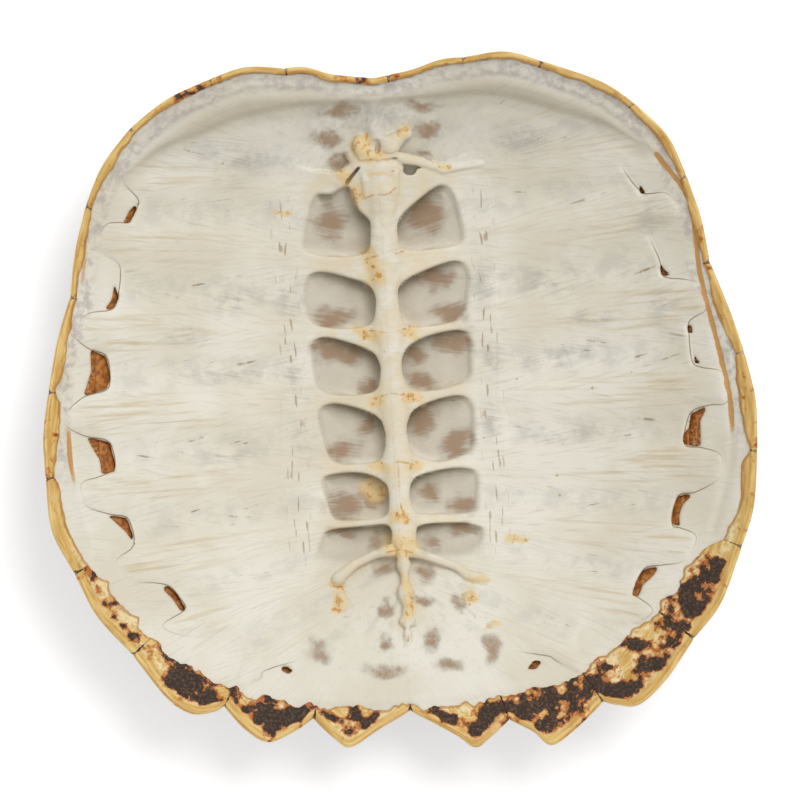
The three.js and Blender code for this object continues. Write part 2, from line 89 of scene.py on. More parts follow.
# The rib sheet, neck to tail down the left and back up the right, round each free rib end
SHEET = [
    (64.5, 139.5), (0, 139), (-64.5, 139.5), (-99.5, 119.5),
    (-112.5, 107.5), (-106.5, 97.5), (-109, 91.5), (-112, 87.5),
    (-117, 87.5), (-121.5, 86.5), (-127, 79), (-125, 75.5), (-118, 71), (-116.5, 66), (-118.5, 55),
    (-121.5, 49.5), (-132, 48), (-137.5, 41.5), (-137, 37.5), (-132, 33), (-125, 29.5), (-124, 19),
    (-126, 14), (-135.5, 11.5), (-143.5, 4.5), (-143.5, -0.5), (-135.5, -5.5), (-126, -8.5), (-124, -20),
    (-130.5, -24), (-138, -26), (-138.5, -31), (-136.5, -36.5), (-127, -40.5), (-119.5, -43), (-117.5, -55),
    (-124.5, -60.5), (-124.5, -65), (-119.5, -70.5), (-109, -72), (-103, -74), (-99, -79), (-96.5, -85),
    (-106.5, -91), (-99, -95.5), (-88.5, -97.5), (-80, -99), (-71, -104),
    (-75.5, -119), (-65.5, -117), (-58, -112), (0, -104),
    (58, -113), (66, -116), (77.5, -122), (75, -108),
    (80, -99.5), (89, -100.5), (100, -102), (109.5, -96.5), (103.5, -90.5), (101.5, -88.5), (107, -78),
    (114.5, -76.5), (124.5, -75), (130, -67), (129.5, -63.5), (124, -61), (120.5, -59), (124, -46.5),
    (131.5, -45), (141, -40), (143, -34.5), (142.5, -29), (135, -26), (128, -24), (131, -10.5),
    (139, -7), (146.5, -6.5), (147.5, 0.5), (145.5, 7), (136.5, 9.5), (133, 13), (132.5, 27),
    (133.5, 31), (140.5, 35), (141, 38.5), (138, 46), (132, 48.5), (123, 50.5), (121.5, 58),
    (117.5, 69), (120.5, 71), (127, 74), (130.5, 78), (126, 86.5), (119, 87), (114.5, 88.5), (107, 100),
    (111, 105), (117.5, 107.5), (98.5, 124.5),
]
FONTANELLES = [
    [(-107, 96.5), (-109, 91.5), (-111.5, 87.5), (-114.5, 87), (-111, 93)],
    [(-119.5, 62), (-118.5, 54.5), (-121.5, 50), (-125, 49.5), (-121.5, 54)],
    [(-132, 32.5), (-125.5, 29), (-124, 19), (-126.5, 14.5), (-136, 12), (-132, 23)],
    [(-135.5, -6), (-126, -9), (-124, -20), (-125, -22), (-130, -23), (-130.5, -16.5), (-133.5, -11)],
    [(-128.5, -41), (-120.5, -43), (-119, -47.5), (-117.5, -54.5), (-121.5, -48.5)],
    [(-106.5, -75), (-104, -74), (-100, -78), (-96.5, -85), (-98.5, -86), (-102, -80)],
    [(-56.5, -113.5), (-53.5, -112.5), (-50, -115), (-53, -116)],
    [(114, 92), (115, 87.5), (117.5, 87), (115.5, 90.5)],
    [(121.5, 57.5), (122.5, 51), (127, 50.5), (123.5, 54)],
    [(132.3, 28.5), (134, 28.5), (134.5, 25), (132.5, 24.5)],
    [(134, 15), (135.5, 14), (137, 11), (135, 11.5)],
    [(139, -7.5), (131.5, -11), (131, -16.5), (128, -20), (127.5, -24), (135, -25.5), (135.5, -14)],
    [(131.5, -45.5), (124, -47), (121.5, -52.5), (120.5, -59), (124, -60), (124, -55.5), (126, -50.5)],
    [(114, -77.5), (107, -78.5), (103.5, -84), (101.5, -89), (104, -90.5), (106.5, -85), (111, -81.5)],
    [(60, -116.5), (56.5, -116), (53, -119.5), (57, -119.8)],
]
RIB_HEADS = [103, 67, 34, 4, -26.5, -50.5, -66, -76]
RIB_TIPS_LEFT = [
    (112.5, 107.5), (127, 79), (137.5, 40.5), (143.5, 2), (138.5, -30), (124.5, -63.5), (106.5, -91.5),
    (75.5, -119),
]
RIB_TIPS_RIGHT = [
    (117.5, 107.5), (130.5, 79), (141, 37), (147.5, 0), (143, -34), (130, -66), (110, -95.5), (77.5, -121),
]
RIB_BEND = 1.2
RIB_PITCH = 33
FAN_PITCH = math.radians(18)

# Band across the neck plate, along its rim side and back along its hollow side
NECK_BAND = [
    (-112.5, 107.5), (-99.5, 119.5), (-88, 127), (-70, 136), (-54, 140), (-22, 139.5), (0, 138.4),
    (22, 139.5), (47, 142), (64.5, 139.5), (81.5, 133), (98.5, 124.5), (111, 114), (117.5, 107.5),
    (102.5, 117), (81.5, 125), (64, 131.5), (46.5, 135), (24.5, 134.5), (0, 134), (-19.5, 134),
    (-37.5, 134), (-59.5, 130.5), (-78, 124), (-95.5, 118),
]
RIM_GROOVES = [
    [(-119, 105.5), (-125, 97), (-132.5, 67), (-137, 41), (-142, 10.5), (-142.5, -20.5), (-136, -52)],
    [(122, 104), (135.5, 82.5), (138.5, 51.5), (143.5, 25), (148, -1.5), (148.5, -19), (146, -36.5),
     (138, -62)],
]

# Thin lines on the backbone: a joint between two vertebrae, or a crack
SUTURES = [
    [(-8, 93), (-3, 94.2), (3, 94.2), (7, 97)], [(-7, 103.5), (-1, 102.6), (7, 104.5)],
    [(-9, 66), (-3, 67.5), (3, 67.5), (9, 69)], [(-8, 34.5), (0, 33), (8, 34.5)], [(-8, 4), (0, 5.5),
     (8, 4)],
    [(-7, -26), (1, -25), (8, -26.5)], [(1.2, -20), (1.2, -43.3), (2.5, -47.6), (-0.4, -50.5)],
    [(1.1, -55), (0.5, -64.3)], [(-6, -65), (0, -64.2), (6, -66)], [(-2, -86.5), (1.5, -84.5), (5, -86.5)],
    [(-2.4, -97.6), (1.5, -98.2), (5.2, -97.6)], [(-9, 105.7), (-14.9, 100.6)], [(1.5, -100), (1.2, -105)],
]

# Pockets beside the backbone, neck to tail, each left one then its right one
POCKETS = [
    [(-14, 99), (-10, 89), (-4.5, 82.5), (-4, 74.5), (-8, 69), (-24, 68.5), (-36, 71.5), (-36, 79.5),
     (-32, 91.5), (-28.5, 96.5), (-22, 96.5)],
    [(5, 76.5), (8, 84), (16.5, 91.5), (26, 97.5), (32, 95), (35.5, 84.5), (36.5, 72), (25.5, 69.5),
     (8.5, 70)],
    [(-37, 58.5), (-29.5, 62.5), (-16.5, 59), (-7, 54.5), (-3.5, 45.5), (-6, 38), (-19, 36), (-33.5, 38.5),
     (-37.5, 47)],
    [(4, 47), (6.5, 54.5), (18.5, 60.5), (32, 64), (38.5, 59.5), (38, 49.5), (33.5, 38), (17, 35), (7, 37)],
    [(-35, 30), (-29.5, 33), (-19.5, 30.5), (-7, 24.5), (-3, 16), (-5.5, 8), (-17.5, 6), (-32, 8.5),
     (-35.5, 18.5)],
    [(4, 18), (7.5, 25.5), (16.5, 30.5), (30.5, 33), (37, 30), (37.5, 20), (35, 9.5), (15.5, 6), (6, 9)],
    [(-34, -1), (-27.5, 3), (-16.5, 0.5), (-6.5, -4.5), (-2.5, -12.5), (-5, -23), (-16.5, -25),
     (-28, -23.5),
     (-32, -14)],
    [(4.5, -12.5), (8, -3.5), (18, 1.5), (31, 3.5), (37, -1.5), (37, -12.5), (35, -22), (20, -26),
     (8, -21.5)],
    [(-34, -31), (-25, -28.5), (-13.5, -29.5), (-4.5, -34.5), (-2, -41.5), (-4.5, -48.5), (-16, -50),
     (-28.5, -49.5), (-32, -41)],
    [(4, -40), (7.5, -33), (17.5, -30), (29, -29), (37, -31.5), (37.5, -40), (34, -49.5), (19, -49.5),
     (6.5, -47.5)],
    [(-35.5, -56.5), (-30, -53.5), (-17, -53), (-4.5, -53), (-2.5, -60.5), (-10, -67), (-25, -70),
     (-37, -66)],
    [(6, -56), (12, -53.5), (25.5, -53.5), (33, -54.5), (39, -58), (33, -68), (18, -70), (7, -66)],
]

# Stains, as x, y, half width and half height of a soft patch
POCKET_STAINS = [
    (-24.4, 41.6, 11, 6), (27.4, 40.9, 9, 5.5), (-25.9, 27.5, 10, 6), (28.6, 27.3, 10, 6.5),
    (14.7, 10.8, 7, 5),
    (-23.9, -18.4, 9.5, 7), (11.5, -5.7, 8, 9), (27.9, -18.4, 8, 6.5), (-24.6, -42.9, 9, 8),
    (28.8, -45.4, 7.5, 6),
    (28.1, -57.2, 8, 4), (19.7, 85.3, 9, 11), (-23, 84, 7.5, 10), (-10, 9.5, 6, 4), (-17, 24, 6, 6),
    (22, 56, 10, 5),
    (-26.1, -54.4, 8, 3.4), (-12, -40, 6, 5), (15, -40, 6, 5), (12, 22, 5, 5), (-13, -8, 6, 5),
]
PLATE_STAINS = [
    (-17.4, 132, 11, 3.8), (19.3, 132.5, 10, 3), (-21.9, 120.9, 8, 4.6), (21.9, 122.8, 6.4, 4),
    (19.7, 111.6, 5, 2),
    (-18, 110, 7, 5), (-7.8, -71.7, 5.3, 4.7), (9.5, -73.9, 5.5, 5.5), (-10.2, -60.7, 5, 4.5),
    (13.1, -63.2, 5, 4),
    (-7.6, -89.1, 4.4, 3.8), (9.3, -88.3, 5, 3.8), (-7.3, -104.2, 4.2, 4.2), (11.3, -105.2, 5, 6),
    (-39.8, -106.6, 6.5, 6), (24.2, -90.3, 4, 5.2), (38.1, -109.7, 4.4, 6.5), (-10.4, -116.6, 10.7, 4.7),
    (19.8, -115.3, 8, 4),
]
YELLOW_STAINS = [
    (-10.3, -36.3, 6, 6), (-5.2, 61.2, 5, 9.4), (-6, 67, 5, 4), (-8, 116.5, 5, 5), (-2, 111, 9, 2.5),
    (0, 102.5, 7, 1.6), (-15, 103.5, 5, 4.5),
    (12.4, 121.2, 3, 2.5), (-9.3, 95, 4, 6.5), (0.5, -62, 8, 6), (1.5, -86, 3.5, 13), (-27.3, -86.2, 4, 6),
    (30, -87.5, 4, 4), (39.3, -99.6, 3.5, 2.6), (-9, 33, 7, 3.5), (10, 33, 6, 3.5), (-8, 3.5, 6, 3.5),
    (10, 3, 6, 3.5),
    (-7, -27, 6, 3), (9, -27, 6, 3), (-29, -78, 4, 2), (34, -80.5, 5, 2), (28.9, 103.8, 2.5, 1.5),
    (0, -50, 6, 4),
    (-44, 88, 5, 2), (52, -62, 6, 2),
]
SMOKE_STAINS = [
    (-44, 52, 7, 10), (-43, 17, 6, 10), (-41, -12, 6, 9), (44, 52, 6, 10), (44, 20, 7, 9), (44, -10, 6, 10),
    (-24.1, -55.0, 9, 3), (25, -60, 10, 5), (-70, 50, 14, 5), (-72, 18, 16, 4), (-74, -18, 14, 4),
    (74, 52, 16, 5), (76, 18, 16, 5), (78, -16, 14, 4), (0, 128, 30, 10), (-60, 112, 18, 8),
    (62, 114, 20, 8),
    (118, 76, 7, 9), (122, 38, 7, 8), (-90, 36, 10, 4), (92, 34, 10, 4),
]

# Relief of the hollow face
LIP_BED = 0.05
BARE_RISE = 0.55
SHEET_STEP = 1.05
SHEET_SWELL = 0.35
FUSED_RISE = 1.2
FINGER_INCISION = 0.2
RIB_RELIEF = 1.8
VALLEY_SINK = 1.0
FIBRE_RELIEF = 0.16
PLATE_WANDER = 0.35
BAND_RISE = 2.2
BAND_FURROW = 0.9
BUTTRESS_HALF_WIDTH = 4.2
BUTTRESS_FLARE = 3.0
BUTTRESS_RISE = 3.0
BUTTRESS_STEP = 2.5
NECK_HOLLOW = 1.3
GROOVE_DEPTH = 1.0
TROUGH_DEPTH = 1.7
POCKET_DEPTH = 1.2
POCKET_RIM = 0.4
# How far the painted shade under the pockets' overhanging edges reaches in
SHADE_REACH = 4.5

# Spacing of the mesh, and of its points under the horn
PLATE_STEP = 1.25
HIDDEN_STEP = 5.0


def smoothstep(low, high, value):
    share = np.clip((value - low) / (high - low), 0, 1)
    return share * share * (3 - 2 * share)


def mottle(x, y, size, seed, layers=3):
    """Random patches between -1 and 1, as large as size, with finer ones over them."""
    total = np.zeros(np.broadcast(x, y).shape)
    for layer in range(layers):
        u = x * 2**layer / size
        v = y * 2**layer / size
        left = np.floor(u).astype(np.int64)
        low = np.floor(v).astype(np.int64)
        across = smoothstep(0, 1, u - left)
        up = smoothstep(0, 1, v - low)

        def corner(i, j):
            mixed = ((left + i) * 374761393 + (low + j) * 668265263 + (seed + layer) * 144665) & 0xFFFFFFFF
            mixed = ((mixed ^ (mixed >> 13)) * 1274126177) & 0xFFFFFFFF
            return ((mixed ^ (mixed >> 16)) & 0xFFFF) / 32767.5 - 1

        near = corner(0, 0) * (1 - across) + corner(1, 0) * across
        far = corner(0, 1) * (1 - across) + corner(1, 1) * across
        total += (near * (1 - up) + far * up) / 2**layer
    return total / (2 - 0.5 ** (layers - 1))


def curve_through(points, closed=True, per_span=4):
    """A smooth line through given points."""
    points = np.array(points, float)
    if closed:
        padded = np.vstack([points[-1:], points, points[:2]])
    else:
        padded = np.vstack([2 * points[:1] - points[1:2], points, 2 * points[-1:] - points[-2:-1]])
    line = []
    for a, b, c, d in zip(padded, padded[1:], padded[2:], padded[3:]):
        for t in np.arange(per_span) / per_span:
            pull = (c - a) * t + (2 * a - 5 * b + 4 * c - d) * t**2 + (3 * b - a - 3 * c + d) * t**3
            line.append(b + pull / 2)
    if not closed:
        line.append(points[-1])
    return np.array(line)


def line_distance(x, y, line):
    nearest = np.full(x.shape, 1e9)
    for (ax, ay), (bx, by) in zip(line, line[1:]):
        run = (bx - ax) ** 2 + (by - ay) ** 2
        share = np.clip(((x - ax) * (bx - ax) + (y - ay) * (by - ay)) / run, 0, 1)
        away = (x - ax - share * (bx - ax)) ** 2 + (y - ay - share * (by - ay)) ** 2
        np.minimum(nearest, away, out=nearest)
    return np.sqrt(nearest)


def depth_inside(x, y, outline, reach=14.0):
    """Distance to an outline, positive inside it; further out than reach it is only -reach."""
    outline = np.asarray(outline, float)
    low = outline.min(0) - reach
    high = outline.max(0) + reach
    near = (x > low[0]) & (x < high[0]) & (y > low[1]) & (y < high[1])
    found = np.full(x.shape, -reach)
    px = x[near]
    py = y[near]
    ring = np.vstack([outline, outline[:1]])
    inside = np.zeros(px.shape, bool)
    for (ax, ay), (bx, by) in zip(ring, ring[1:]):
        if ay != by:
            crosses = (py < ay) != (py < by)
            inside ^= crosses & (px < ax + (py - ay) * (bx - ax) / (by - ay))
    away = line_distance(px, py, ring)
    found[near] = np.where(inside, away, -np.minimum(away, reach))
    return found


def smooth_radius(angle):
    across = np.abs(np.cos(angle) / HALF_WIDTH) ** OUTLINE_POWER
    along = np.abs(np.sin(angle) / HALF_LENGTH) ** OUTLINE_POWER
    return (across + along) ** (-1 / OUTLINE_POWER)


def dish(x, y):
    angle = np.arctan2(y, x)
    reach = np.hypot(x, y) / smooth_radius(angle)
    neck = np.maximum(0, np.sin(angle)) ** 3
    tail = np.maximum(0, -np.sin(angle)) ** 3
    rise = RIM_HEIGHT - NECK_DIP * neck - TAIL_DIP * tail - CROWN_LIFT
    bowl = BOWL_SHARE + TAIL_FLARE * tail
    return CROWN_LIFT + rise * (bowl * reach**2 + (1 - bowl) * reach**4)


def on_horn(x, y, height):
    """Height of the outer face, with its keels, raised by the given thickness."""
    keels = 0
    for cx, cy, tall, wide, long in KEEL_KNOBS:
        keels = keels + tall * np.exp(-(((x - cx) / wide) ** 2) - ((y - cy) / long) ** 2)
    return np.maximum(0, dish(x, y) - keels) + height


RIM_SEAMS_LEFT = [edge[0] for edge in LEFT_EDGES] + [TAIL_NOTCH]
RIM_SEAMS_RIGHT = [edge[0] for edge in RIGHT_EDGES] + [TAIL_NOTCH]
rim_spans = [CERVICAL_EDGE]
for edges, seams in ((LEFT_EDGES, RIM_SEAMS_LEFT), (RIGHT_EDGES, RIM_SEAMS_RIGHT)):
    for edge, next_seam in zip(edges, seams[1:]):
        rim_spans.append(edge + [next_seam])
rim_line = np.vstack([curve_through(span, closed=False, per_span=10) for span in rim_spans])
rim_angles = np.arctan2(rim_line[:, 1], rim_line[:, 0])
rim_reaches = np.hypot(rim_line[:, 0], rim_line[:, 1])


def rim_radius(angle):
    return np.interp(angle, rim_angles, rim_reaches, period=2 * math.pi)


rim_order = np.argsort(rim_angles)
rim_angles = rim_angles[rim_order]
rim_reaches = rim_reaches[rim_order]


def lip_width(angle):
    """How far the horn's turned-over lip reaches in from the rim."""
    tail = smoothstep(TAIL_LIP_FROM, TAIL_LIP_FULL, -np.sin(angle))
    deep = rim_radius(angle) - smooth_radius(angle) + TAIL_LIP_DEPTH
    return LIP_WIDTH * (1 - tail) + deep * tail


def patches(x, y, places):
    """Soft patches with wandering edges."""
    stray_x = x + 3.2 * mottle(x, y, 7, 101) + 1.2 * mottle(x, y, 2.5, 103)
    stray_y = y + 3.2 * mottle(x, y, 7, 107) + 1.2 * mottle(x, y, 2.5, 109)
    amount = np.zeros(x.shape)
    for cx, cy, wide, tall in places:
        amount = np.maximum(amount, np.exp(-(((stray_x - cx) / wide) ** 2) - ((stray_y - cy) / tall) ** 2))
    return amount


def rib_number(x, y):
    """Ribs counted from the neck: whole on a rib's crest and a half in the valley behind it."""
    out = np.abs(x)
    number = np.zeros(x.shape)
    for tips, side in ((RIB_TIPS_LEFT, x < 0), (RIB_TIPS_RIGHT, x >= 0)):
        crests = []
        for head, (tip_x, tip_y) in zip(RIB_HEADS, tips):
            bend = 1 if head in (RIB_HEADS[0], RIB_HEADS[-1]) else RIB_BEND
            share = 1 - out / tip_x
            crests.append(tip_y + (head - tip_y) * np.sign(share) * np.abs(share) ** bend)
        count = np.zeros(x.shape)
        for front, rear in zip(crests, crests[1:]):
            count += np.clip((front - y) / np.maximum(front - rear, 1), 0, 1)
        tip_x, tip_y = tips[-1]
        fan = np.arctan2(out, RIB_HEADS[-1] - y) - math.atan2(tip_x, RIB_HEADS[-1] - tip_y)
        count = np.where(y < crests[-1], len(tips) - 1 - fan / FAN_PITCH, count)
        tip_x, tip_y = tips[0]
        fan = np.arctan2(out, y - RIB_HEADS[0]) - math.atan2(tip_x, tip_y - RIB_HEADS[0])
        count = np.where(y > crests[0], fan / FAN_PITCH, count)
        number = np.where(side, count, number)
    return number


sheet_line = curve_through(SHEET)
band_line = curve_through(NECK_BAND)
pocket_lines = [curve_through(pocket) for pocket in POCKETS]


def pocket_depth(x, y):
    return np.max([depth_inside(x, y, line) for line in pocket_lines], axis=0)


def hollow_face(x, y):
    """The bone's hollow face: its height above the dish, and what lies where on it."""
    angle = np.arctan2(y, x)
    rimward = rim_radius(angle) - np.hypot(x, y)
    bare = smoothstep(0, 4, rimward - lip_width(angle))
    sheet = depth_inside(x, y, sheet_line)
    band = depth_inside(x, y, band_line)
    pocket = pocket_depth(x, y)
    gap = np.max([depth_inside(x, y, outline) for outline in FONTANELLES], axis=0)
    groove = np.min([line_distance(x, y, curve_through(line, closed=False)) for line in RIM_GROOVES], axis=0)
    rib = rib_number(x, y)
    out = np.abs(x)
    free = (1 - smoothstep(100, 112, y)) * np.maximum(smoothstep(46, 60, out), smoothstep(-96, -86, y))
    trough = (1 - smoothstep(30, 47, out)) * smoothstep(-78, -64, y) * (1 - smoothstep(98, 110, y))
    ribs = smoothstep(38, 62, out) * smoothstep(-1, 5, sheet)
    fibre = mottle(out / 26, rib * 9, 1, 11)
    height = PLATE_INSIDE - LIP_BED + BARE_RISE * bare
    sheet_rise = SHEET_STEP * smoothstep(-0.5, 0.8, sheet) + SHEET_SWELL * smoothstep(0.5, 7, sheet)
    height += sheet_rise * free + FUSED_RISE * (1 - free) * bare
    height -= FINGER_INCISION * np.exp(-(((sheet + 0.7) / 0.8) ** 2)) * free
    height += (RIB_RELIEF * (0.5 + 0.5 * np.cos(2 * math.pi * rib)) ** 0.7 - VALLEY_SINK) * ribs * free
    height += (FIBRE_RELIEF * fibre + PLATE_WANDER * mottle(x, y, 42, 5)) * bare
    height += BAND_RISE * smoothstep(-0.8, 2.8, band)
    height -= BAND_FURROW * np.exp(-(((band + 4) / 3.2) ** 2)) * (y > 100) * (rimward > 9)
    flare = BUTTRESS_HALF_WIDTH + BUTTRESS_FLARE * smoothstep(126, 138, y)
    buttress = np.exp(-(((x + 1) / flare) ** 2)) * smoothstep(111, 121, y) * (1 - smoothstep(133, 140, y))
    height += (BUTTRESS_RISE + BUTTRESS_STEP * smoothstep(128, 118, y)) * buttress
    height -= NECK_HOLLOW * np.exp(-(((out - 18) / 12) ** 2) - ((y - 126) / 8) ** 2)
    height -= GROOVE_DEPTH * np.exp(-((groove / 1.9) ** 2)) * bare
    height -= TROUGH_DEPTH * trough + POCKET_DEPTH * smoothstep(-0.5, 4, pocket)
    height += POCKET_RIM * np.exp(-(((pocket + 1.3) / 1.1) ** 2)) * trough
    return {
        "height": height, "rimward": rimward, "sheet": sheet, "band": band, "pocket": pocket, "gap": gap,
        "groove": groove, "rib": rib, "free": free,
    }


def mesh_of_field(name, field, corner, step, hidden=None):
    """A mesh where a field of distances crosses nought, with the solid on its negative side.
    Points that are hidden are gathered into larger cells."""
    band = 3 * step
    grid = openvdb.FloatGrid(band)
    grid.copyFromArray(np.ascontiguousarray(np.clip(field, -band, band), np.float32))
    points, triangles, quads = grid.convertToPolygons(isovalue=0.0, adaptivity=0.0)
    points = points * step + np.array(corner)
    a, b, c = (points[quads[:, i]] for i in range(3))
    turned = np.einsum("ij,ij->i", a, np.cross(b, c)).sum() < 0
    if hidden is not None:
        gathered = hidden(points)
        cells = np.floor(points / HIDDEN_STEP).astype(np.int64) + 1000
        label = np.where(gathered, cells[:, 0] * 4000 + cells[:, 1], -1 - np.arange(len(points)))
        _, group = np.unique(label, return_inverse=True)
        group = group.ravel()
        size = np.bincount(group)
        points = np.column_stack([np.bincount(group, points[:, axis]) / size for axis in range(3)])
        quads = group[quads]
        triangles = group[triangles.astype(np.int64)] if len(triangles) else triangles
    faces = [list(dict.fromkeys(face)) for face in (quads[:, ::-1] if turned else quads).tolist()]
    faces += [list(dict.fromkeys(face)) for face in (triangles[:, ::-1] if turned else triangles).tolist()]
    faces = [face for face in faces if len(face) > 2]
    mesh = bpy.data.meshes.new(name)
    mesh.from_pydata(points, [], faces)
    return mesh


def points_of(mesh):
    flat = np.zeros(len(mesh.vertices) * 3)
    mesh.vertices.foreach_get("co", flat)
    return flat.reshape(-1, 3)


def keep(mesh, name, values):
    """Stores one number for each point, for the material to read."""
    mesh.attributes.new(name, "FLOAT", "POINT").data.foreach_set("value", np.asarray(values, np.float32))


def shown(name, mesh):
    """An object for a mesh made in millimetres, with smooth shading."""
    mesh.transform(((0.001, 0, 0, 0), (0, 0.001, 0, 0), (0, 0, 0.001, 0), (0, 0, 0, 1)))
    mesh.polygons.foreach_set("use_smooth", np.ones(len(mesh.polygons), bool))
    mesh.update()
    made = bpy.data.objects.new(name, mesh)
    bpy.context.scene.collection.objects.link(made)
    return made


def slope_share(surface, step):
    """Turns a height above a sloping surface into a distance from it."""
    dx, dy = np.gradient(surface, step)
    return 1 / np.sqrt(1 + dx**2 + dy**2)


def mark_bone(mesh):
    """What the bone's material reads at each point."""
    x, y, z = points_of(mesh).T
    face = hollow_face(x, y)
    last = len(RIB_HEADS) - 1
    tail_fan = np.hypot(x, y - RIB_HEADS[-1])
    neck_fan = np.hypot(x, y - RIB_HEADS[0])
    outward = np.where(face["rib"] > last, tail_fan, np.where(face["rib"] < 0, neck_fan, np.abs(x)))
    keep(mesh, "along", outward)
    fanned = np.where((face["rib"] > last) | (face["rib"] < 0), smoothstep(75, 25, outward), 0)
    keep(mesh, "fibred", 1 - 0.85 * fanned)
    keep(mesh, "across", face["rib"] * RIB_PITCH + np.where(x < 0, 500, 0))
    keep(mesh, "rib", np.cos(2 * math.pi * face["rib"]))
    keep(mesh, "valley_side", np.sin(2 * math.pi * face["rib"]))
    for name in ("sheet", "gap", "band", "rimward", "free"):
        keep(mesh, name, face[name])
    # Painted shade: dark brown is laid on the pocket floors along their front and medial edges, where the
    # overhanging rib heads and backbone throw shade, fading with depth into the pocket
    lean_x = pocket_depth(x + 0.5, y) - pocket_depth(x - 0.5, y)
    lean_y = pocket_depth(x, y + 0.5) - pocket_depth(x, y - 0.5)
    facing = np.clip(0.75 * lean_x * np.sign(x) - lean_y, 0, 1.2)
    painted_shade = facing * np.exp(-np.maximum(face["pocket"], 0) / SHADE_REACH)
    low = smoothstep(5, 1.5, z - dish(x, y) - face["height"])
    keep(mesh, "overhang_painted_shade", painted_shade * smoothstep(-0.2, 0.6, face["pocket"]) * low)
    keep(mesh, "pocket_floor", smoothstep(0, 3.5, face["pocket"]) * low)
    keep(mesh, "stain", np.maximum(patches(x, y, POCKET_STAINS) * low, 0.8 * patches(x, y, PLATE_STAINS)))
    keep(mesh, "yellow", patches(x, y, YELLOW_STAINS))
    keep(mesh, "smoke", patches(x, y, SMOKE_STAINS))
    lifted = smoothstep(1, 4, z - dish(x, y) - face["height"])
    keep(mesh, "lifted", lifted)
    suture = np.min([line_distance(x, y, curve_through(line, closed=False)) for line in SUTURES], axis=0)
    keep(mesh, "suture", np.where(lifted > 0.1, suture, 9))
    right_line = smoothstep(-26, -10, y) * (x > 0)
    left_line = (np.exp(-(((y + 14) / 13) ** 2)) + 0.6 * np.exp(-(((y - 68) / 12) ** 2))) * (x < 0)
    keep(mesh, "groove_colour", (right_line + left_line) * (1 - smoothstep(0.6, 1.5, face["groove"])))
    # Painted shade: the bone greys towards the neck, where the neck wall turns away from the lamp
    keep(mesh, "neck_painted_shade", smoothstep(98, 128, y))
    keep(mesh, "neckward_half", smoothstep(-40, -5, y))
    keep(mesh, "trough_side", smoothstep(-72, -60, y) * (1 - smoothstep(88, 98, y)) * low)


plate_x = np.arange(-160, 165, PLATE_STEP)
plate_y = np.arange(-157, 158, PLATE_STEP)
plate_z = np.arange(-2, 84, PLATE_STEP)
grid_x, grid_y = np.meshgrid(plate_x, plate_y, indexing="ij")
plate_face = hollow_face(grid_x, grid_y)
plate_top = dish(grid_x, grid_y) + plate_face["height"]
plate_under = on_horn(grid_x, grid_y, HORN + GAP)
top_share = slope_share(plate_top, PLATE_STEP)[:, :, None]
under_share = slope_share(plate_under, PLATE_STEP)[:, :, None]
above_top = (plate_z - plate_top[:, :, None]) * top_share
below_under = (plate_under[:, :, None] - plate_z) * under_share
plate_field = np.maximum(above_top, below_under)
plate_field = np.maximum(plate_field, (BONE_EDGE_INSET - plate_face["rimward"])[:, :, None])
plate_field = np.maximum(plate_field, plate_face["gap"][:, :, None])


def beneath(points):
    """Points on the face under the horn, well away from its edges."""
    x, y, z = points.T
    face = hollow_face(x, y)
    return (z < on_horn(x, y, HORN + GAP) + 1.2) & (face["rimward"] > 6) & (face["gap"] < -3)


plate_corner = (plate_x[0], plate_y[0], plate_z[0])
plates = mesh_of_field("bone_plates", plate_field, plate_corner, PLATE_STEP, beneath)
mark_bone(plates)
plates = shown("bone_plates", plates)


class Wire:
    """A node's socket that can be used in sums."""

    def __init__(self, tree, socket=None):
        self.tree = tree
        self.socket = socket

    def node(self, kind, settings=None, inputs=None, output=0):
        made = self.tree.nodes.new(kind)
        for name, value in (settings or {}).items():
            setattr(made, name, value)
        for key, value in (inputs or {}).items():
            if isinstance(value, Wire):
                self.tree.links.new(value.socket, made.inputs[key])
            else:
                made.inputs[key].default_value = value
        return Wire(self.tree, made.outputs[output] if made.outputs else None)

    def sum(self, operation, *values):
        return self.node("ShaderNodeMath", {"operation": operation}, dict(enumerate(values)))

    def __add__(self, other):
        return self.sum("ADD", self, other)

    def __sub__(self, other):
        return self.sum("SUBTRACT", self, other)

    def __rsub__(self, other):
        return self.sum("SUBTRACT", other, self)

    def __mul__(self, other):
        return self.sum("MULTIPLY", self, other)

    __radd__ = __add__
    __rmul__ = __mul__

    def rising(self, low, high):
        """0 below low, 1 above high, and a soft step between."""
        settings = {"interpolation_type": "SMOOTHSTEP"}
        return self.node("ShaderNodeMapRange", settings, {0: self, 1: low, 2: high, 3: 0.0, 4: 1.0})

    def clamped(self):
        return self.node("ShaderNodeClamp", None, {0: self, 1: 0.0, 2: 1.0})

    def between(self, first, second, amount):
        """One colour that turns into another as the amount goes from 0 to 1."""
        return self.node("ShaderNodeMix", {"data_type": "RGBA"}, {0: amount, 6: first, 7: second}, output=2)

    def mixed(self, colour, amount):
        return self.between(self, colour, amount)

    def stored(self, name):
        return self.node("ShaderNodeAttribute", {"attribute_name": name}, output=2)

    def place(self, x, y, z=0.0):
        return self.node("ShaderNodeCombineXYZ", None, {0: x, 1: y, 2: z})

    def cloud(self, where, scale, detail=3.0, rough=0.5):
        sockets = {"Vector": where, "Scale": scale, "Detail": detail, "Roughness": rough}
        return self.node("ShaderNodeTexNoise", None, sockets)

    def object_place(self):
        return self.node("ShaderNodeTexCoord", output=3)


def colour(red, green, blue):
    """A colour as seen on a screen, 0 to 255, as the light a material reflects."""
    seen = np.array([red, green, blue]) / 255
    light = np.where(seen < 0.04045, seen / 12.92, ((seen + 0.055) / 1.055) ** 2.4)
    return (*light.tolist(), 1.0)


def new_material(name):
    material = bpy.data.materials.new(name)
    material.use_nodes = True
    material.node_tree.nodes.clear()
    return material, Wire(material.node_tree)


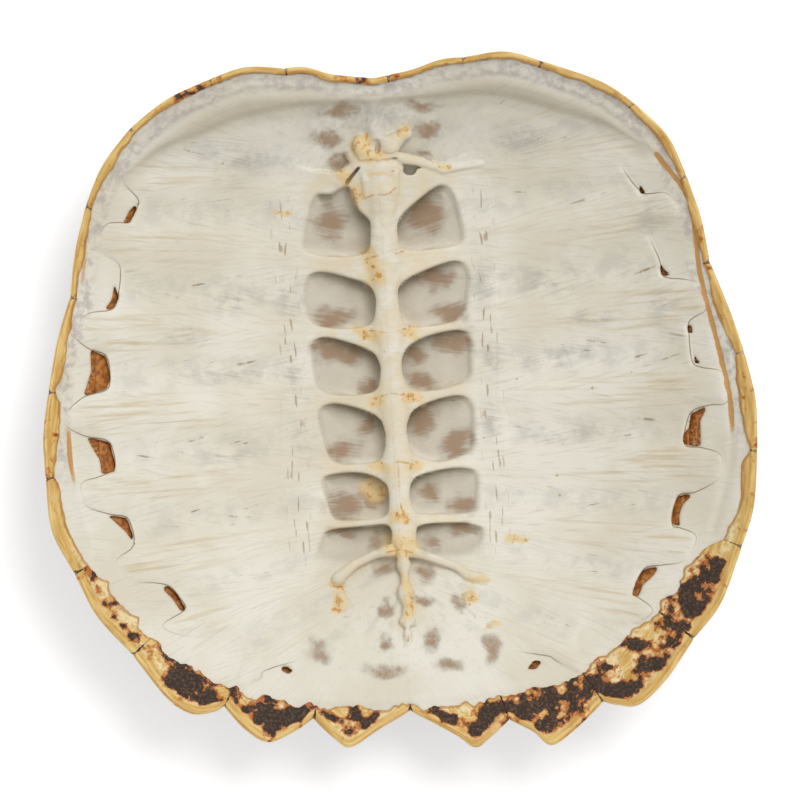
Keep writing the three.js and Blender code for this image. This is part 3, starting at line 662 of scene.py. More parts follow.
def finish_surface(wire, base, roughness, bump_height, bump_mm, settings=None):
    relief = {"Strength": 1.0, "Distance": bump_mm * 0.001, "Height": bump_height}
    bump = wire.node("ShaderNodeBump", None, relief)
    sockets = {"Base Color": base, "Roughness": roughness, "Normal": bump}
    sockets.update(settings or {})
    surface = wire.node("ShaderNodeBsdfPrincipled", None, sockets)
    wire.node("ShaderNodeOutputMaterial", None, {"Surface": surface})


IVORY = colour(223, 216, 197)
PALE_IVORY = colour(234, 230, 217)
GREY_BONE = colour(194, 191, 181)
TAN = colour(203, 177, 132)
BROWN = colour(146, 110, 66)
SEAM_BROWN = colour(122, 90, 50)
STAIN_BROWN = colour(160, 128, 98)
STAIN_GREY = colour(176, 168, 154)
# Colour of the painted shade under the pockets' overhanging edges
PAINTED_SHADE_BROWN = colour(108, 92, 68)
POCKET_GREY = colour(204, 195, 178)
YELLOW_TINT = colour(230, 202, 146)
YELLOW_CRUST = colour(196, 138, 56)
CREAM = colour(226, 210, 178)
SMOKE = colour(180, 177, 168)
BAND_GREY = colour(192, 182, 160)
LILAC_GREY = colour(188, 178, 172)
SPOT_TAN = colour(190, 156, 96)
GROOVE_AMBER = colour(196, 138, 46)

bone, wire = new_material("chalky_bone")
spot = wire.object_place()
along = wire.stored("along")
across = wire.stored("across")
sheet = wire.stored("sheet")
gap = wire.stored("gap")
free = wire.stored("free")
rib = wire.stored("rib")
lifted = wire.stored("lifted")
stain = wire.stored("stain")
yellow = wire.stored("yellow")
fibred = wire.stored("fibred")
plain = wire.cloud(spot, 420.0, 3.0, 0.6)
behind_rib = wire.stored("valley_side").rising(-0.35, 0.35)
slant_back = wire.place(along * 0.07, (across - along * 0.2) * 0.8)
slant_front = wire.place(along * 0.07, (across + along * 0.2) * 0.8, 5.0)
fine_front = wire.cloud(slant_front, 1.0, 3.0, 0.6)
fine_fibre = fine_front + (wire.cloud(slant_back, 1.0, 3.0, 0.6) - fine_front) * behind_rib
fine_fibre = plain + (fine_fibre - plain) * fibred
long_fibre = wire.cloud(wire.place(along * 0.03, across * 0.5, 7.0), 1.0, 3.0, 0.55)
long_fibre = 0.45 + (long_fibre - 0.45) * fibred
dash_front = wire.cloud(wire.place(along * 0.05, (across + along * 0.2) * 0.5, 3.0), 1.0, 1.0, 0.4)
dash_back = wire.cloud(wire.place(along * 0.05, (across - along * 0.2) * 0.5, 9.0), 1.0, 1.0, 0.4)
dash = dash_front + (dash_back - dash_front) * behind_rib
broad = wire.cloud(spot, 22.0, 4.0, 0.55)
patchy = wire.cloud(spot, 110.0, 5.0, 0.62)
mid_grain = wire.cloud(spot, 330.0, 3.0, 0.6)
grain = wire.cloud(spot, 900.0, 3.0, 0.6)
base = wire.between(IVORY, PALE_IVORY, broad.rising(0.35, 0.65))
# Grey from the fibres is the bone's own; grey towards the neck is painted shade on the neck wall
base = base.mixed(GREY_BONE, (wire.stored("neck_painted_shade") * 0.3 + fine_fibre.rising(0.5, 0.72) * 0.4).clamped())
in_valley = (1 - rib.rising(-0.9, 0.1)) * sheet.rising(0.0, 6.0)
base = base.mixed(GREY_BONE, in_valley * patchy.rising(0.4, 0.65) * 0.4)
on_finger = rib.rising(-0.5, 0.6) * sheet.rising(0.0, 4.0) * (0.35 + 0.65 * along.rising(60.0, 110.0))
base = base.mixed(TAN, long_fibre.rising(0.47, 0.7) * on_finger * 0.6)
dashes = dash.rising(0.67, 0.7) * (1 - rib.rising(-0.9, 0.0))
dashes = dashes * sheet.rising(0.0, 3.0) * along.rising(50.0, 62.0)
base = base.mixed(BROWN, dashes * patchy.rising(0.42, 0.58) * 0.75)
base = base.mixed(SMOKE, wire.stored("smoke") * (fine_fibre * 0.4 + patchy * 0.6).rising(0.4, 0.62) * 0.7)
base = base.mixed(BAND_GREY, wire.stored("band").rising(-2.0, 2.0) * (0.35 + patchy * 0.5))
rimward = wire.stored("rimward")
rim_strip = rimward.rising(2.5, 4.5) * (1 - rimward.rising(8.0, 12.0)) * wire.stored("neckward_half")
base = base.mixed(LILAC_GREY, rim_strip * (mid_grain * 0.5 + patchy * 0.5).rising(0.44, 0.6) * 0.75)
lengthwise = wire.node("ShaderNodeSeparateXYZ", None, {0: spot}, output=1) * 1000.0
tick = wire.cloud(wire.place(along * 0.55, lengthwise * 0.09, 4.0), 1.0, 1.0, 0.4)
beside_pocket = along.rising(38.0, 42.0) * (1 - along.rising(46.0, 52.0)) * wire.stored("trough_side")
base = base.mixed(BROWN, tick.rising(0.64, 0.69) * beside_pocket * 0.55)
cell = wire.node("ShaderNodeTexVoronoi", None, {"Vector": spot, "Scale": 70.0, "Randomness": 1.0})
spotted = (1 - cell.rising(0.035, 0.06)) * broad.rising(0.5, 0.52)
base = base.mixed(SPOT_TAN, spotted * 0.75)
base = base.mixed(POCKET_GREY, wire.stored("pocket_floor") * (0.4 + patchy * 0.8))
stained = stain + (fine_fibre - 0.5) * 1.1 + (patchy - 0.5) * 0.7
greyed = (stain + (patchy - 0.5) * 0.6).rising(0.1, 0.7) * stain.rising(0.02, 0.4)
base = base.mixed(STAIN_GREY, greyed * 0.6)
base = base.mixed(STAIN_BROWN, stained.rising(0.3, 0.9) * stain.rising(0.05, 0.5) * 0.8)
base = base.mixed(CREAM, lifted * patchy.rising(0.3, 0.6) * 0.7)
# Painted shade: dark brown along the pockets' front and medial edges, under the overhanging rib heads
base = base.mixed(PAINTED_SHADE_BROWN, (wire.stored("overhang_painted_shade") * (0.7 + patchy * 0.6)).rising(0.0, 1.1) * 0.8)
tinted = (yellow + (patchy - 0.5) * 0.8).rising(0.2, 0.8) * yellow.rising(0.02, 0.3)
base = base.mixed(YELLOW_TINT, tinted * 0.8)
crusty = (yellow * 0.5 + (mid_grain - 0.5) * 2.2 + (patchy - 0.5) * 1.2).rising(0.45, 0.8)
base = base.mixed(YELLOW_CRUST, crusty * yellow.rising(0.1, 0.5) * 0.85)
line = 1 - (wire.stored("suture") + (mid_grain - 0.5) * 0.5).rising(0.15, 0.55)
base = base.mixed(YELLOW_CRUST, line * patchy.rising(0.4, 0.55) * 0.8)
near_gap = gap.rising(-14.0, -2.0)
seam = (1 - sheet.sum("ABSOLUTE", sheet + 0.3).rising(0.05, 0.42)) * free
base = base.mixed(SEAM_BROWN, seam * near_gap * 0.8)
base = base.mixed(GROOVE_AMBER, (wire.stored("groove_colour") + patchy * 0.8 - 0.5).rising(0.2, 0.6) * 0.85)
relief = fine_fibre * 0.5 + grain * 0.3 + mid_grain * 0.2
finish_surface(wire, base, 0.62 + fine_fibre * 0.15, relief, 0.3, {"Specular IOR Level": 0.3})

plates.data.materials.append(bone)
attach(plates, "root")
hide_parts("bony_carapace")

# Backbone and rib heads: a chain of cream vertebrae stands along the middle of the hollow, fused to
# the plates. From each joint a rib head bridges out to the rib sheet like a flying buttress, and
# leaves a pocket in front of it and behind it. At the tail hang the two sacral ribs.
BACKBONE_CREST = 20
CREST_FALL = 12
CREST_LEVEL = (95, -52)
CREST_RUN = 36
COLUMN = [
    (-70, 6.6), (-65, 6.8), (-61, 5.6), (-56, 4.4), (-50.5, 5.8), (-38, 4.2), (-26.5, 6.6), (-11, 4.3),
    (4, 6.8),
    (19, 4.2), (34, 6.8), (50, 4.2), (67, 6.8), (85, 4.8), (97, 6.6), (106, 7.5), (114, 7.0), (122, 4.5),
]
COLUMN_ENDS = (116.5, -66.8)
BODY_FLATNESS = 0.75
BEAD_SOFTNESS = 1.0
COLUMN_LINE = [
    (-105, 1.6), (-73, 2), (-56, 2.3), (-40, 1.0), (-11, 1.2), (18, 0.5), (47, 0.4), (85, 0.8), (113, 0.5),
    (136, 0),
]
ROOF_EDGE = 5.0
ROOF_RISE = 12.6
ROOF_REACH = 48
ROOF_CURVE = 1.35
ROOF_THICK = 4.2
ROOF_ROUNDING = 0.9
ROOF_OUTLINE = [
    (-46, 108), (-30, 107), (-14, 105), (0, 108), (14, 105), (30, 107), (46, 108), (49, 60), (49, -60),
    (40, -63),
    (8, -58), (0, -66), (-5, -58), (-38, -63), (-49, -60), (-49, 60),
]
# Lumps: x, y, height above the dish, half sizes
LUMPS = [
    (0.5, 107.5, 11.0, 9.2, 5.4, 5.0), (-7.8, 116.6, 10.6, 3.0, 4.6, 3.6),
    (5.7, 115.4, 12.2, 4.3, 3.9, 4.2),
    (12.3, 120.5, 9.2, 3.7, 2.6, 2.9), (0.9, 118.9, 10.8, 4.6, 1.7, 2.4), (9, 118.2, 9.6, 3, 2.4, 2.6),
    (-4.4, 112.6, 11.2, 4.4, 2.6, 3.8), (-9, 109, 9.6, 3.6, 4.6, 3.4), (-12, 113, 7.6, 3, 2.6, 2.4),
    (-16, 104.6, 10.6, 2.4, 2.0, 2.0), (-13.6, 106.4, 10.0, 2.0, 1.7, 1.8),
    (-17.5, 101.6, 10.4, 2.4, 1.6, 1.8),
    (1.2, -70.4, 11.6, 3.0, 3.8, 3.2), (1.5, -76.4, 10.6, 1.9, 4.2, 2.6), (1.4, -83.6, 10.6, 3.7, 4.8, 3.4),
    (1.8, -91.0, 9.8, 2.5, 4.4, 2.8), (1.6, -95.6, 9.4, 3.9, 2.9, 2.8), (1.2, -102.8, 8.4, 1.9, 3.8, 2.0),
    (-6, -64, 13.4, 3.4, 2.4, 2.6), (6, -65.4, 13.4, 3.4, 2.4, 2.6), (-27.3, -86.2, 7.4, 2.6, 5.0, 1.5),
    (29.8, -87.0, 7.6, 2.7, 2.5, 1.7), (39.3, -99.6, 7.4, 2.1, 1.5, 1.3), (-24.5, -90, 7.2, 2, 2, 1.3),
]
# Bars: points of x, y, height above the dish and radius
BARS = [
    [(9.9, 110.5, 12.6, 2.4), (18.9, 107.9, 10.6, 2.0), (24.2, 105.9, 9.4, 1.6), (28.9, 103.8, 8.6, 1.6)],
    [(28.9, 103.8, 8.4, 1.4), (45.8, 105.8, 6.8, 1.0)],
    [(-6.6, 103, 15.8, 1.5), (-6.2, 94.4, 15.8, 1.3)], [(7.6, 103.4, 15.8, 1.5), (7.0, 95.4, 15.8, 1.3)],
    [(-7.5, 111, 13.6, 1.2), (0, 110.2, 15.2, 1.2), (8, 111.2, 14.4, 1.3)],
    [(-5, -64.3, 13.6, 2.5), (-11.1, -65.5, 12.4, 1.8), (-21, -69.7, 10.8, 1.9), (-28.5, -75.6, 8.6, 2.9)],
    [(6, -65.8, 13.6, 2.5), (11, -67.3, 12.4, 1.9), (24.5, -72.9, 10.2, 1.6), (29.7, -77.2, 8.8, 2.1),
     (36.8, -79.6, 7.2, 2.2)],
    [(28.4, -90.5, 7.0, 1.0), (32.9, -95, 6.9, 1.0), (37.1, -95.2, 6.9, 1.0)],
]
CRACK = [(-9, 106.6), (-11.6, 104), (-14.9, 100.2)]
CLEFT = [(-0.4, 117.8), (0.3, 115.6), (-0.3, 113.4)]
FRONT_HOLLOW = (0.2, 121.6, 3.2, 1.1)
FORAMEN = (13.6, 104.4, 3.0, 2.1)
BACKBONE_STEP = 0.8


def joined(a, b, soft):
    """The union of two solids, with a rounded corner where they meet."""
    share = np.clip(0.5 + 0.5 * (b - a) / soft, 0, 1)
    return b * (1 - share) + a * share - soft * share * (1 - share)


spine_x = np.arange(-54, 54, BACKBONE_STEP)
spine_y = np.arange(-114, 142, BACKBONE_STEP)
spine_z = np.arange(2, 72, BACKBONE_STEP)
flat_x, flat_y = np.meshgrid(spine_x, spine_y, indexing="ij")
spine_face = hollow_face(flat_x, flat_y)
spine_dish = dish(flat_x, flat_y)
spine_plate = spine_dish + spine_face["height"]
spine = np.full((len(spine_x), len(spine_y), len(spine_z)), 30.0, np.float32)


def add_lump(cx, cy, height, wide, long, tall, soft=2.4):
    cz = float(dish(cx, cy)) + height
    i, j, k = (
        np.flatnonzero(np.abs(axis - middle) < half + 5)
        for axis, middle, half in ((spine_x, cx, wide), (spine_y, cy, long), (spine_z, cz, tall))
    )
    block = np.ix_(i, j, k)
    reach = np.sqrt(
        ((spine_x[i] - cx) / wide)[:, None, None] ** 2
        + ((spine_y[j] - cy) / long)[None, :, None] ** 2
        + ((spine_z[k] - cz) / tall)[None, None, :] ** 2
    )
    spine[block] = joined(spine[block], (reach - 1) * min(wide, long, tall), soft)


# The roof of rib heads, cut through by the pockets
roof_top = spine_dish + ROOF_EDGE + ROOF_RISE * np.clip(1 - np.abs(flat_x) / ROOF_REACH, 0, 1) ** ROOF_CURVE
roof_inside = np.minimum(depth_inside(flat_x, flat_y, curve_through(ROOF_OUTLINE)), -spine_face["pocket"])
half_roof = ROOF_THICK / 2
roof_middle = (roof_top - half_roof)[:, :, None]
from_middle = np.abs(spine_z - roof_middle) * slope_share(roof_top, BACKBONE_STEP)[:, :, None]
beyond = (ROOF_ROUNDING - roof_inside)[:, :, None]
thick = from_middle - half_roof + ROOF_ROUNDING
roof = np.minimum(np.maximum(beyond, thick), 0) - ROOF_ROUNDING
roof += np.sqrt(np.maximum(beyond, 0) ** 2 + np.maximum(thick, 0) ** 2)
spine = np.minimum(spine, roof).astype(np.float32)

# The column: a rounded body on a thinner wall that stands on the plates
past = np.maximum(np.maximum(spine_y - CREST_LEVEL[0], CREST_LEVEL[1] - spine_y), 0)
crest = dish(np.zeros_like(spine_y), spine_y) + BACKBONE_CREST - CREST_FALL * np.minimum(1, past / CREST_RUN)
column_y, column_half = np.array(COLUMN, float).T
half_width = np.interp(spine_y, column_y, column_half)
kernel = np.hanning(15)
half_width = np.convolve(np.pad(half_width, 7, "edge"), kernel / kernel.sum(), "valid")
line_y, line_x = np.array(COLUMN_LINE, float).T
aside = spine_x[:, None] - np.interp(spine_y, line_y, line_x)[None, :]
body_half = half_width[None, :, None]
below = spine_z[None, None, :] - (crest - BODY_FLATNESS * half_width)[None, :, None]
body_tall = BODY_FLATNESS * body_half
body = (np.sqrt((aside[:, :, None] / body_half) ** 2 + (below / body_tall) ** 2) - 1) * body_tall
wall = np.maximum(np.abs(aside)[:, :, None] - 0.6 * body_half, below)
ends = np.maximum(spine_y - COLUMN_ENDS[0], COLUMN_ENDS[1] - spine_y)[None, :, None]
spine = joined(spine, np.maximum(np.minimum(body, wall), ends), 3.0)
for lump in LUMPS:
    add_lump(*lump)
for bar in BARS:
    for (ax, ay, az, ar), (bx, by, bz, br) in zip(bar, bar[1:]):
        beads = max(3, int(math.hypot(bx - ax, by - ay) / 1.2))
        for share in np.linspace(0, 1, beads):
            radius = ar + (br - ar) * share
            bead = (ax + (bx - ax) * share, ay + (by - ay) * share, az + (bz - az) * share)
            add_lump(*bead, radius, radius, radius, BEAD_SOFTNESS)
crusty = np.maximum(patches(flat_x, flat_y, [(2, 112, 15, 12), (3, -63, 11, 9)]), 0.35 * (np.abs(flat_x) < 6))
lumpy = mottle(flat_x, flat_y, 4.5, 21)[:, :, None]
lumpy = lumpy + mottle(flat_y[0][:, None], spine_z[None, :], 4.0, 31)[None]
spine += 0.8 * crusty[:, :, None] * lumpy
hole_x, hole_y, hole_wide, hole_tall = FORAMEN
hole = 1 - np.hypot((flat_x - hole_x) / hole_wide, (flat_y - hole_y) / hole_tall)
spine = np.maximum(spine, (hole * hole_tall)[:, :, None])
spine = np.maximum(spine, (0.7 - line_distance(flat_x, flat_y, np.array(CRACK)))[:, :, None])
cleft = (1.1 - line_distance(flat_x, flat_y, np.array(CLEFT)))[:, :, None]
spine = np.maximum(spine, np.minimum(cleft, spine_z - (spine_dish + 10)[:, :, None]))
hole_x, hole_y, hole_wide, hole_tall = FRONT_HOLLOW
hole = 1 - np.hypot((flat_x - hole_x) / hole_wide, (flat_y - hole_y) / hole_tall)
spine = np.maximum(spine, (hole * hole_tall)[:, :, None])

# Fillets run down onto the plates, and what lies deeper than the plates' face is left out
over_plate = (spine_z - spine_plate[:, :, None]) * slope_share(spine_plate, BACKBONE_STEP)[:, :, None]
fillet = 1.8 + 2.7 * smoothstep(-72, -58, spine_y) * (1 - smoothstep(98, 106, spine_y))
filleted = joined(spine, over_plate + 0.2, fillet[None, :, None])
filleted = np.maximum(np.maximum(filleted, -over_plate - 0.8), spine - 5)


def bedded(points):
    """Points sunk in the plates."""
    x, y, z = points.T
    return z < dish(x, y) + hollow_face(x, y)["height"] - 0.35


spine_corner = (spine_x[0], spine_y[0], spine_z[0])
backbone = mesh_of_field("backbone_and_rib_heads", filleted, spine_corner, BACKBONE_STEP, bedded)
mark_bone(backbone)
backbone = shown("backbone_and_rib_heads", backbone)

backbone.data.materials.append(bone)
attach(backbone, "root")

# Horn over the back: five vertebral scutes down the middle and four costal scutes on each side.
# Each is a thin plate of dark horn that grew ring by ring round its oldest spot, the areola. It is
# stuck to the bone over its whole face, and its brown underside shows in the openings between ribs.
SEAM_GAP = 0.4
MARGINAL_WIDTH = 25
CROSS_SEAMS = [(36, 84), (38, 33), (36, -21), (29, -70)]
COSTAL_CORNERS = [(47, 58), (47, 6), (43, -46)]
SEAM_END_MARGINALS = [1, 4, 6, 8, 10]
SCUTE_RINGS = 34
SCUTE_SPACING = 2.0
GROWTH_RINGS = 13
RING_DEPTH = 0.45


def seam_point(angle):
    reach = smooth_radius(angle) - MARGINAL_WIDTH
    return reach * np.cos(angle), reach * np.sin(angle)


def angle_of(point):
    return math.atan2(point[1], point[0]) % (2 * math.pi)


def mid_edge_angle(edges, number):
    return angle_of(edges[number][1])


seam_ends = {
    -1: [mid_edge_angle(LEFT_EDGES, number) for number in SEAM_END_MARGINALS],
    1: [mid_edge_angle(RIGHT_EDGES, number) for number in SEAM_END_MARGINALS],
}


def rim_run(start, end, count=40):
    return [seam_point(angle) for angle in np.linspace(start, end, count)]


def resampled(points, spacing):
    points = np.vstack([points, points[:1]])
    runs = np.r_[0, np.cumsum(np.hypot(*np.diff(points, axis=0).T))]
    places = np.linspace(0, runs[-1], max(24, int(runs[-1] / spacing)), endpoint=False)
    return np.column_stack([np.interp(places, runs, points[:, 0]), np.interp(places, runs, points[:, 1])])


def back_scute(name, outline, areola, seed):
    """A plate of horn with rings round its areola, between the outer face and the bone."""
    edge = resampled(np.array(outline, float), SCUTE_SPACING)
    middle = np.array(areola, float)
    inward = middle - edge
    inner_edge = edge
    edge = edge + inward * (SEAM_GAP * 0.5 / np.hypot(*inward.T))[:, None]
    spokes = len(edge)
    shares = np.linspace(0, 1, SCUTE_RINGS + 1)[1:] ** 0.85
    flat = middle + shares[:, None, None] * (edge - middle)
    x = np.r_[middle[0], flat[:, :, 0].ravel()]
    y = np.r_[middle[1], flat[:, :, 1].ravel()]
    share = np.r_[0, np.repeat(shares, spokes)]
    turn = np.r_[0, np.tile(np.linspace(0, 2 * math.pi, spokes, endpoint=False), len(shares))]
    wander = 0.12 * mottle(x, y, 24, seed)
    ring = (share**0.8 * (1 + wander)) * GROWTH_RINGS
    ledge = (ring % 1) ** 2 * smoothstep(0.06, 0.2, share)
    rays = mottle(turn * 9, share * 2, 1, seed + 3) * smoothstep(0.05, 0.4, share) * (1 - 0.5 * share)
    worn = smoothstep(0.1, 0.8, mottle(x, y, 18, seed + 5) * 0.5 + 0.5)
    relief = RING_DEPTH * ledge * (0.5 + 0.5 * worn) + 0.22 * rays + 0.12 * mottle(x, y, 5, seed + 7)
    relief = np.clip(relief + 0.2, 0.02, 0.8) * smoothstep(1.0, 0.97, share)
    outer = on_horn(x, y, 0) + relief
    inner_flat = middle + shares[:, None, None] * (inner_edge - middle)
    inner_x = np.r_[middle[0], inner_flat[:, :, 0].ravel()]
    inner_y = np.r_[middle[1], inner_flat[:, :, 1].ravel()]
    inner = on_horn(inner_x, inner_y, HORN)
    count = len(x)
    faces = []
    for side, base in ((1, 0), (-1, count)):
        for spoke in range(spokes):
            after = (spoke + 1) % spokes
            faces.append([base, base + 1 + after, base + 1 + spoke][::side])
        for row in range(SCUTE_RINGS - 1):
            a = base + 1 + row * spokes
            for spoke in range(spokes):
                after = (spoke + 1) % spokes
                faces.append([a + spoke, a + after, a + spokes + after, a + spokes + spoke][::side])
    last = 1 + (SCUTE_RINGS - 1) * spokes
    for spoke in range(spokes):
        after = (spoke + 1) % spokes
        faces.append([last + spoke, last + after, count + last + after, count + last + spoke])
    mesh = bpy.data.meshes.new(name)
    points = np.vstack([np.column_stack([x, y, outer]), np.column_stack([inner_x, inner_y, inner])])
    area = np.cross(edge - middle, np.roll(edge, -1, 0) - middle).sum()
    mesh.from_pydata(points, [], faces if area > 0 else [face[::-1] for face in faces])
    keep(mesh, "inside", np.r_[np.zeros(count), np.ones(count)])
    keep(mesh, "ring", np.tile(ring, 2))
    keep(mesh, "ray", np.tile(turn * 12 + seed, 2))
    keep(mesh, "share", np.tile(share, 2))
    made = shown(name, mesh)
    made.data.materials.append(dark_horn)
    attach(made, "root")
    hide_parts(name)


DARK_HORN = colour(62, 50, 36)
BLACK_HORN = colour(36, 30, 24)
WORN_HORN = colour(126, 98, 62)
INNER_HORN = colour(198, 128, 58)
INNER_HORN_DARK = colour(146, 86, 38)
INNER_HORN_PALE = colour(226, 188, 138)

dark_horn, wire = new_material("dark_ringed_horn")
spot = wire.object_place()
inside = wire.stored("inside")
ring = wire.stored("ring")
ray = wire.stored("ray")
share = wire.stored("share")
patchy = wire.cloud(spot, 45.0, 5.0, 0.6)
speck = wire.cloud(spot, 420.0, 4.0, 0.65)
rays = wire.cloud(wire.place(ray * 1.6, share * 3.0), 1.0, 3.0, 0.6)
ring_line = ring.sum("PINGPONG", ring, 0.5)
base = wire.between(BLACK_HORN, DARK_HORN, patchy.rising(0.35, 0.65))
base = base.mixed(WORN_HORN, (rays * 0.6 + patchy * 0.6).rising(0.56, 0.8) * 0.7)
base = base.mixed(BLACK_HORN, (1 - ring_line.rising(0.02, 0.16)) * 0.6)
under_side = wire.between(INNER_HORN_DARK, INNER_HORN, speck.rising(0.4, 0.6))
under_side = under_side.mixed(INNER_HORN_PALE, (patchy * 0.5 + speck * 0.5).rising(0.55, 0.68) * 0.5)
base = base.mixed(under_side, inside.rising(0.45, 0.55))
finish_surface(wire, base, 0.42 + patchy * 0.3, speck * 0.5 + rays * 0.5, 0.2)

for number in range(5):
    side_points = []
    if number > 0:
        side_points.append(CROSS_SEAMS[number - 1])
    if 0 < number < 4:
        side_points.append(COSTAL_CORNERS[number - 1])
    if number < 4:
        side_points.append(CROSS_SEAMS[number])
    outline = [(-px, py) for px, py in side_points]
    if number == 0:
        outline = rim_run(seam_ends[1][0], seam_ends[-1][0]) + outline
    if number == 4:
        outline = outline + rim_run(seam_ends[-1][4], seam_ends[1][4])
    outline = outline + side_points[::-1]
    areola_y = (112, 50, -2, -55, -98)[number]
    back_scute(f"vertebral_scute_{number + 1}", outline, (0, areola_y), 40 + number)

for side, word in ((-1, "left"), (1, "right")):
    for number in range(4):
        middle_points = []
        if number > 0:
            middle_points.append(COSTAL_CORNERS[number - 1])
        middle_points.append(CROSS_SEAMS[number])
        if number < 3:
            middle_points.append(COSTAL_CORNERS[number])
        middle_points = [(side * px, py) for px, py in middle_points]
        start = seam_ends[side][number]
        end = seam_ends[side][number + 1]
        if side > 0 and end > start:
            end -= 2 * math.pi
        outline = middle_points[::-1] + rim_run(start, end)
        areola = np.mean(middle_points + rim_run(start, end, 5), axis=0) * (0.9, 1.0) + (0, -5)
        back_scute(f"costal_scute_{word}_{number + 1}", outline, areola, 60 + 10 * number + side)

# Marginal scutes: twelve on each side and one small cervical scute at the neck, of amber horn.
# Each clips over the rim of the bone: a skin outside, a rounded edge, and a lip turned in over the
# hollow side. The lip is narrow, but wide and crusted with dark old horn towards the tail.
EDGE_ROUND = 2.6
EDGE_HORN = 1.8
LIP_TOP = PLATE_INSIDE + GAP + LIP_HORN
STATION = 0.75
SKIN_POINTS = 26
EDGE_POINTS = 9
LIP_POINTS = 26
CRUST_HEIGHT = 0.55


def marginal_scute(name, start, end, side, seed):
    middle = (start + end) / 2
    spacing = STATION / float(rim_radius(middle))
    angles = np.linspace(start, end, max(14, int((end - start) / spacing)))
    rearward = (angles - start) / (end - start)
    if side > 0:
        rearward = 1 - rearward
    shrink = 0.03 / rim_radius(angles)
    seam_near = np.minimum(angles - start, end - angles) * rim_radius(angles)
    angles = np.clip(angles, start + shrink, end - shrink)
    edge = rim_radius(angles) - 0.3 * np.exp(-((seam_near / 1.0) ** 2))
    tail = smoothstep(TAIL_LIP_FROM - 0.05, TAIL_LIP_FULL, -np.sin(angles))
    arc = angles * 150
    ragged = mottle(arc, arc * 0, 7.0, 71, 4) * (1.0 + 2.6 * tail)
    long = min(1, (end - start) * 150 / 30)
    swell = 0.6 + 0.75 * long * np.sin(math.pi * rearward**0.8) ** 0.8
    forward = np.sin(angles)
    swell = swell * (1 - 0.35 * smoothstep(0.05, 0.35, forward)) * (1 - 0.3 * smoothstep(0.7, 0.95, forward))
    lip = lip_width(angles) * (swell * (1 - tail) + tail) + ragged
    lip = np.maximum(lip, EDGE_ROUND + 0.4)
    skin_in = smooth_radius(angles) - MARGINAL_WIDTH
    rows_r = []
    rows_h = []
    kinds = []
    for t in np.linspace(0, 1, SKIN_POINTS):
        rows_r.append(skin_in + (edge - EDGE_ROUND - skin_in) * t)
        rows_h.append(np.zeros_like(edge))
        kinds.append(0)
    for turn in np.linspace(-math.pi / 2, math.pi / 2, EDGE_POINTS + 2)[1:-1]:
        rows_r.append(edge - EDGE_ROUND + EDGE_ROUND * math.cos(turn))
        rows_h.append(np.full_like(edge, LIP_TOP / 2 * (1 + math.sin(turn))))
        kinds.append(1)
    lip_r = edge - lip
    for t in np.linspace(0, 1, LIP_POINTS):
        rows_r.append(edge - EDGE_ROUND + (lip_r - edge + EDGE_ROUND) * t)
        rows_h.append(np.full_like(edge, LIP_TOP - 0.55 * smoothstep(0.9, 1.0, t)))
        kinds.append(2)
    core = edge - EDGE_HORN
    for r, h in ((lip_r, PLATE_INSIDE + GAP), (core, PLATE_INSIDE + GAP), (core, HORN), (skin_in, HORN)):
        steps = 6 if h != PLATE_INSIDE + GAP or r is core else 1
        last_r, last_h = rows_r[-1], rows_h[-1]
        for t in np.linspace(0, 1, steps + 1)[1:]:
            rows_r.append(last_r + (r - last_r) * t)
            rows_h.append(last_h + (h - last_h) * t)
            kinds.append(3)
    r = np.array(rows_r)
    h = np.array(rows_h)
    kind = np.array(kinds)[:, None] + np.zeros_like(r)
    angle = np.broadcast_to(angles, r.shape)
    x = r * np.cos(angle)
    y = r * np.sin(angle)
    inward = edge - r
    profile = smoothstep(2.5, 6.5, inward) * (1 - 0.45 * smoothstep(lip - 6, lip, inward))
    blotch = 0.7 * mottle(x, y, 12, 90, 2) + 0.8 * mottle(x, y, 4.8, 95, 2) + 0.45 * mottle(x, y, 2.0, 97, 2)
    behind = -np.sin(angles)
    spread = 0.5 * smoothstep(0.14, 0.32, behind) + 0.5 * smoothstep(0.25, 0.6, behind)
    crust = blotch - 0.85 + 1.05 * profile * spread
    on_lip = (kind == 2) & (h > PLATE_INSIDE + GAP + 0.1)
    crust_rise = CRUST_HEIGHT * smoothstep(-0.03, 0.08, crust) * smoothstep(0, 1.5, lip - inward)
    h = h + np.where(on_lip, crust_rise, 0)
    h = h + np.where((kind == 1) | on_lip, 0.1 * mottle(x, y, 6, 83), 0)
    rows = (np.arange(6) + 0.4 * mottle(np.arange(6.0), np.arange(6.0), 1, seed)) / 6
    skin_share = (r - skin_in) / (edge - skin_in)
    ledges = sum(np.exp(-(((skin_share - row) / 0.035) ** 2)) for row in rows)
    skin_relief = 0.3 * ledges * smoothstep(0, 0.06, skin_share) + 0.1 + 0.1 * mottle(x, y, 5, 87)
    h = h + np.where(kind == 0, skin_relief, 0)
    lowest = on_horn(x, y, 0) - dish(x, y)
    z = dish(x, y) + h + np.where((kind == 0) | (h <= HORN), lowest, 0)
    section, stations = r.shape
    faces = []
    for i in range(section):
        j = (i + 1) % section
        for s in range(stations - 1):
            faces.append([i * stations + s, i * stations + s + 1, j * stations + s + 1, j * stations + s])
    faces.append([i * stations for i in range(section)])
    faces.append([i * stations + stations - 1 for i in range(section)][::-1])
    mesh = bpy.data.meshes.new(name)
    mesh.from_pydata(np.column_stack([x.ravel(), y.ravel(), z.ravel()]), [], faces)
    keep(mesh, "kind", kind.ravel())
    keep(mesh, "inward", inward.ravel())
    keep(mesh, "crust", np.where(on_lip | (kind == 1), crust, -1).ravel())
    keep(mesh, "seam", np.broadcast_to(seam_near, r.shape).ravel())
    keep(mesh, "tail", np.broadcast_to(tail, r.shape).ravel())
    keep(mesh, "round_rim", np.broadcast_to(arc, r.shape).ravel())
    keep(mesh, "to_lip_edge", (lip - inward).ravel())
    made = shown(name, mesh)
    made.data.materials.append(amber_horn)
    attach(made, "root")
    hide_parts(name)


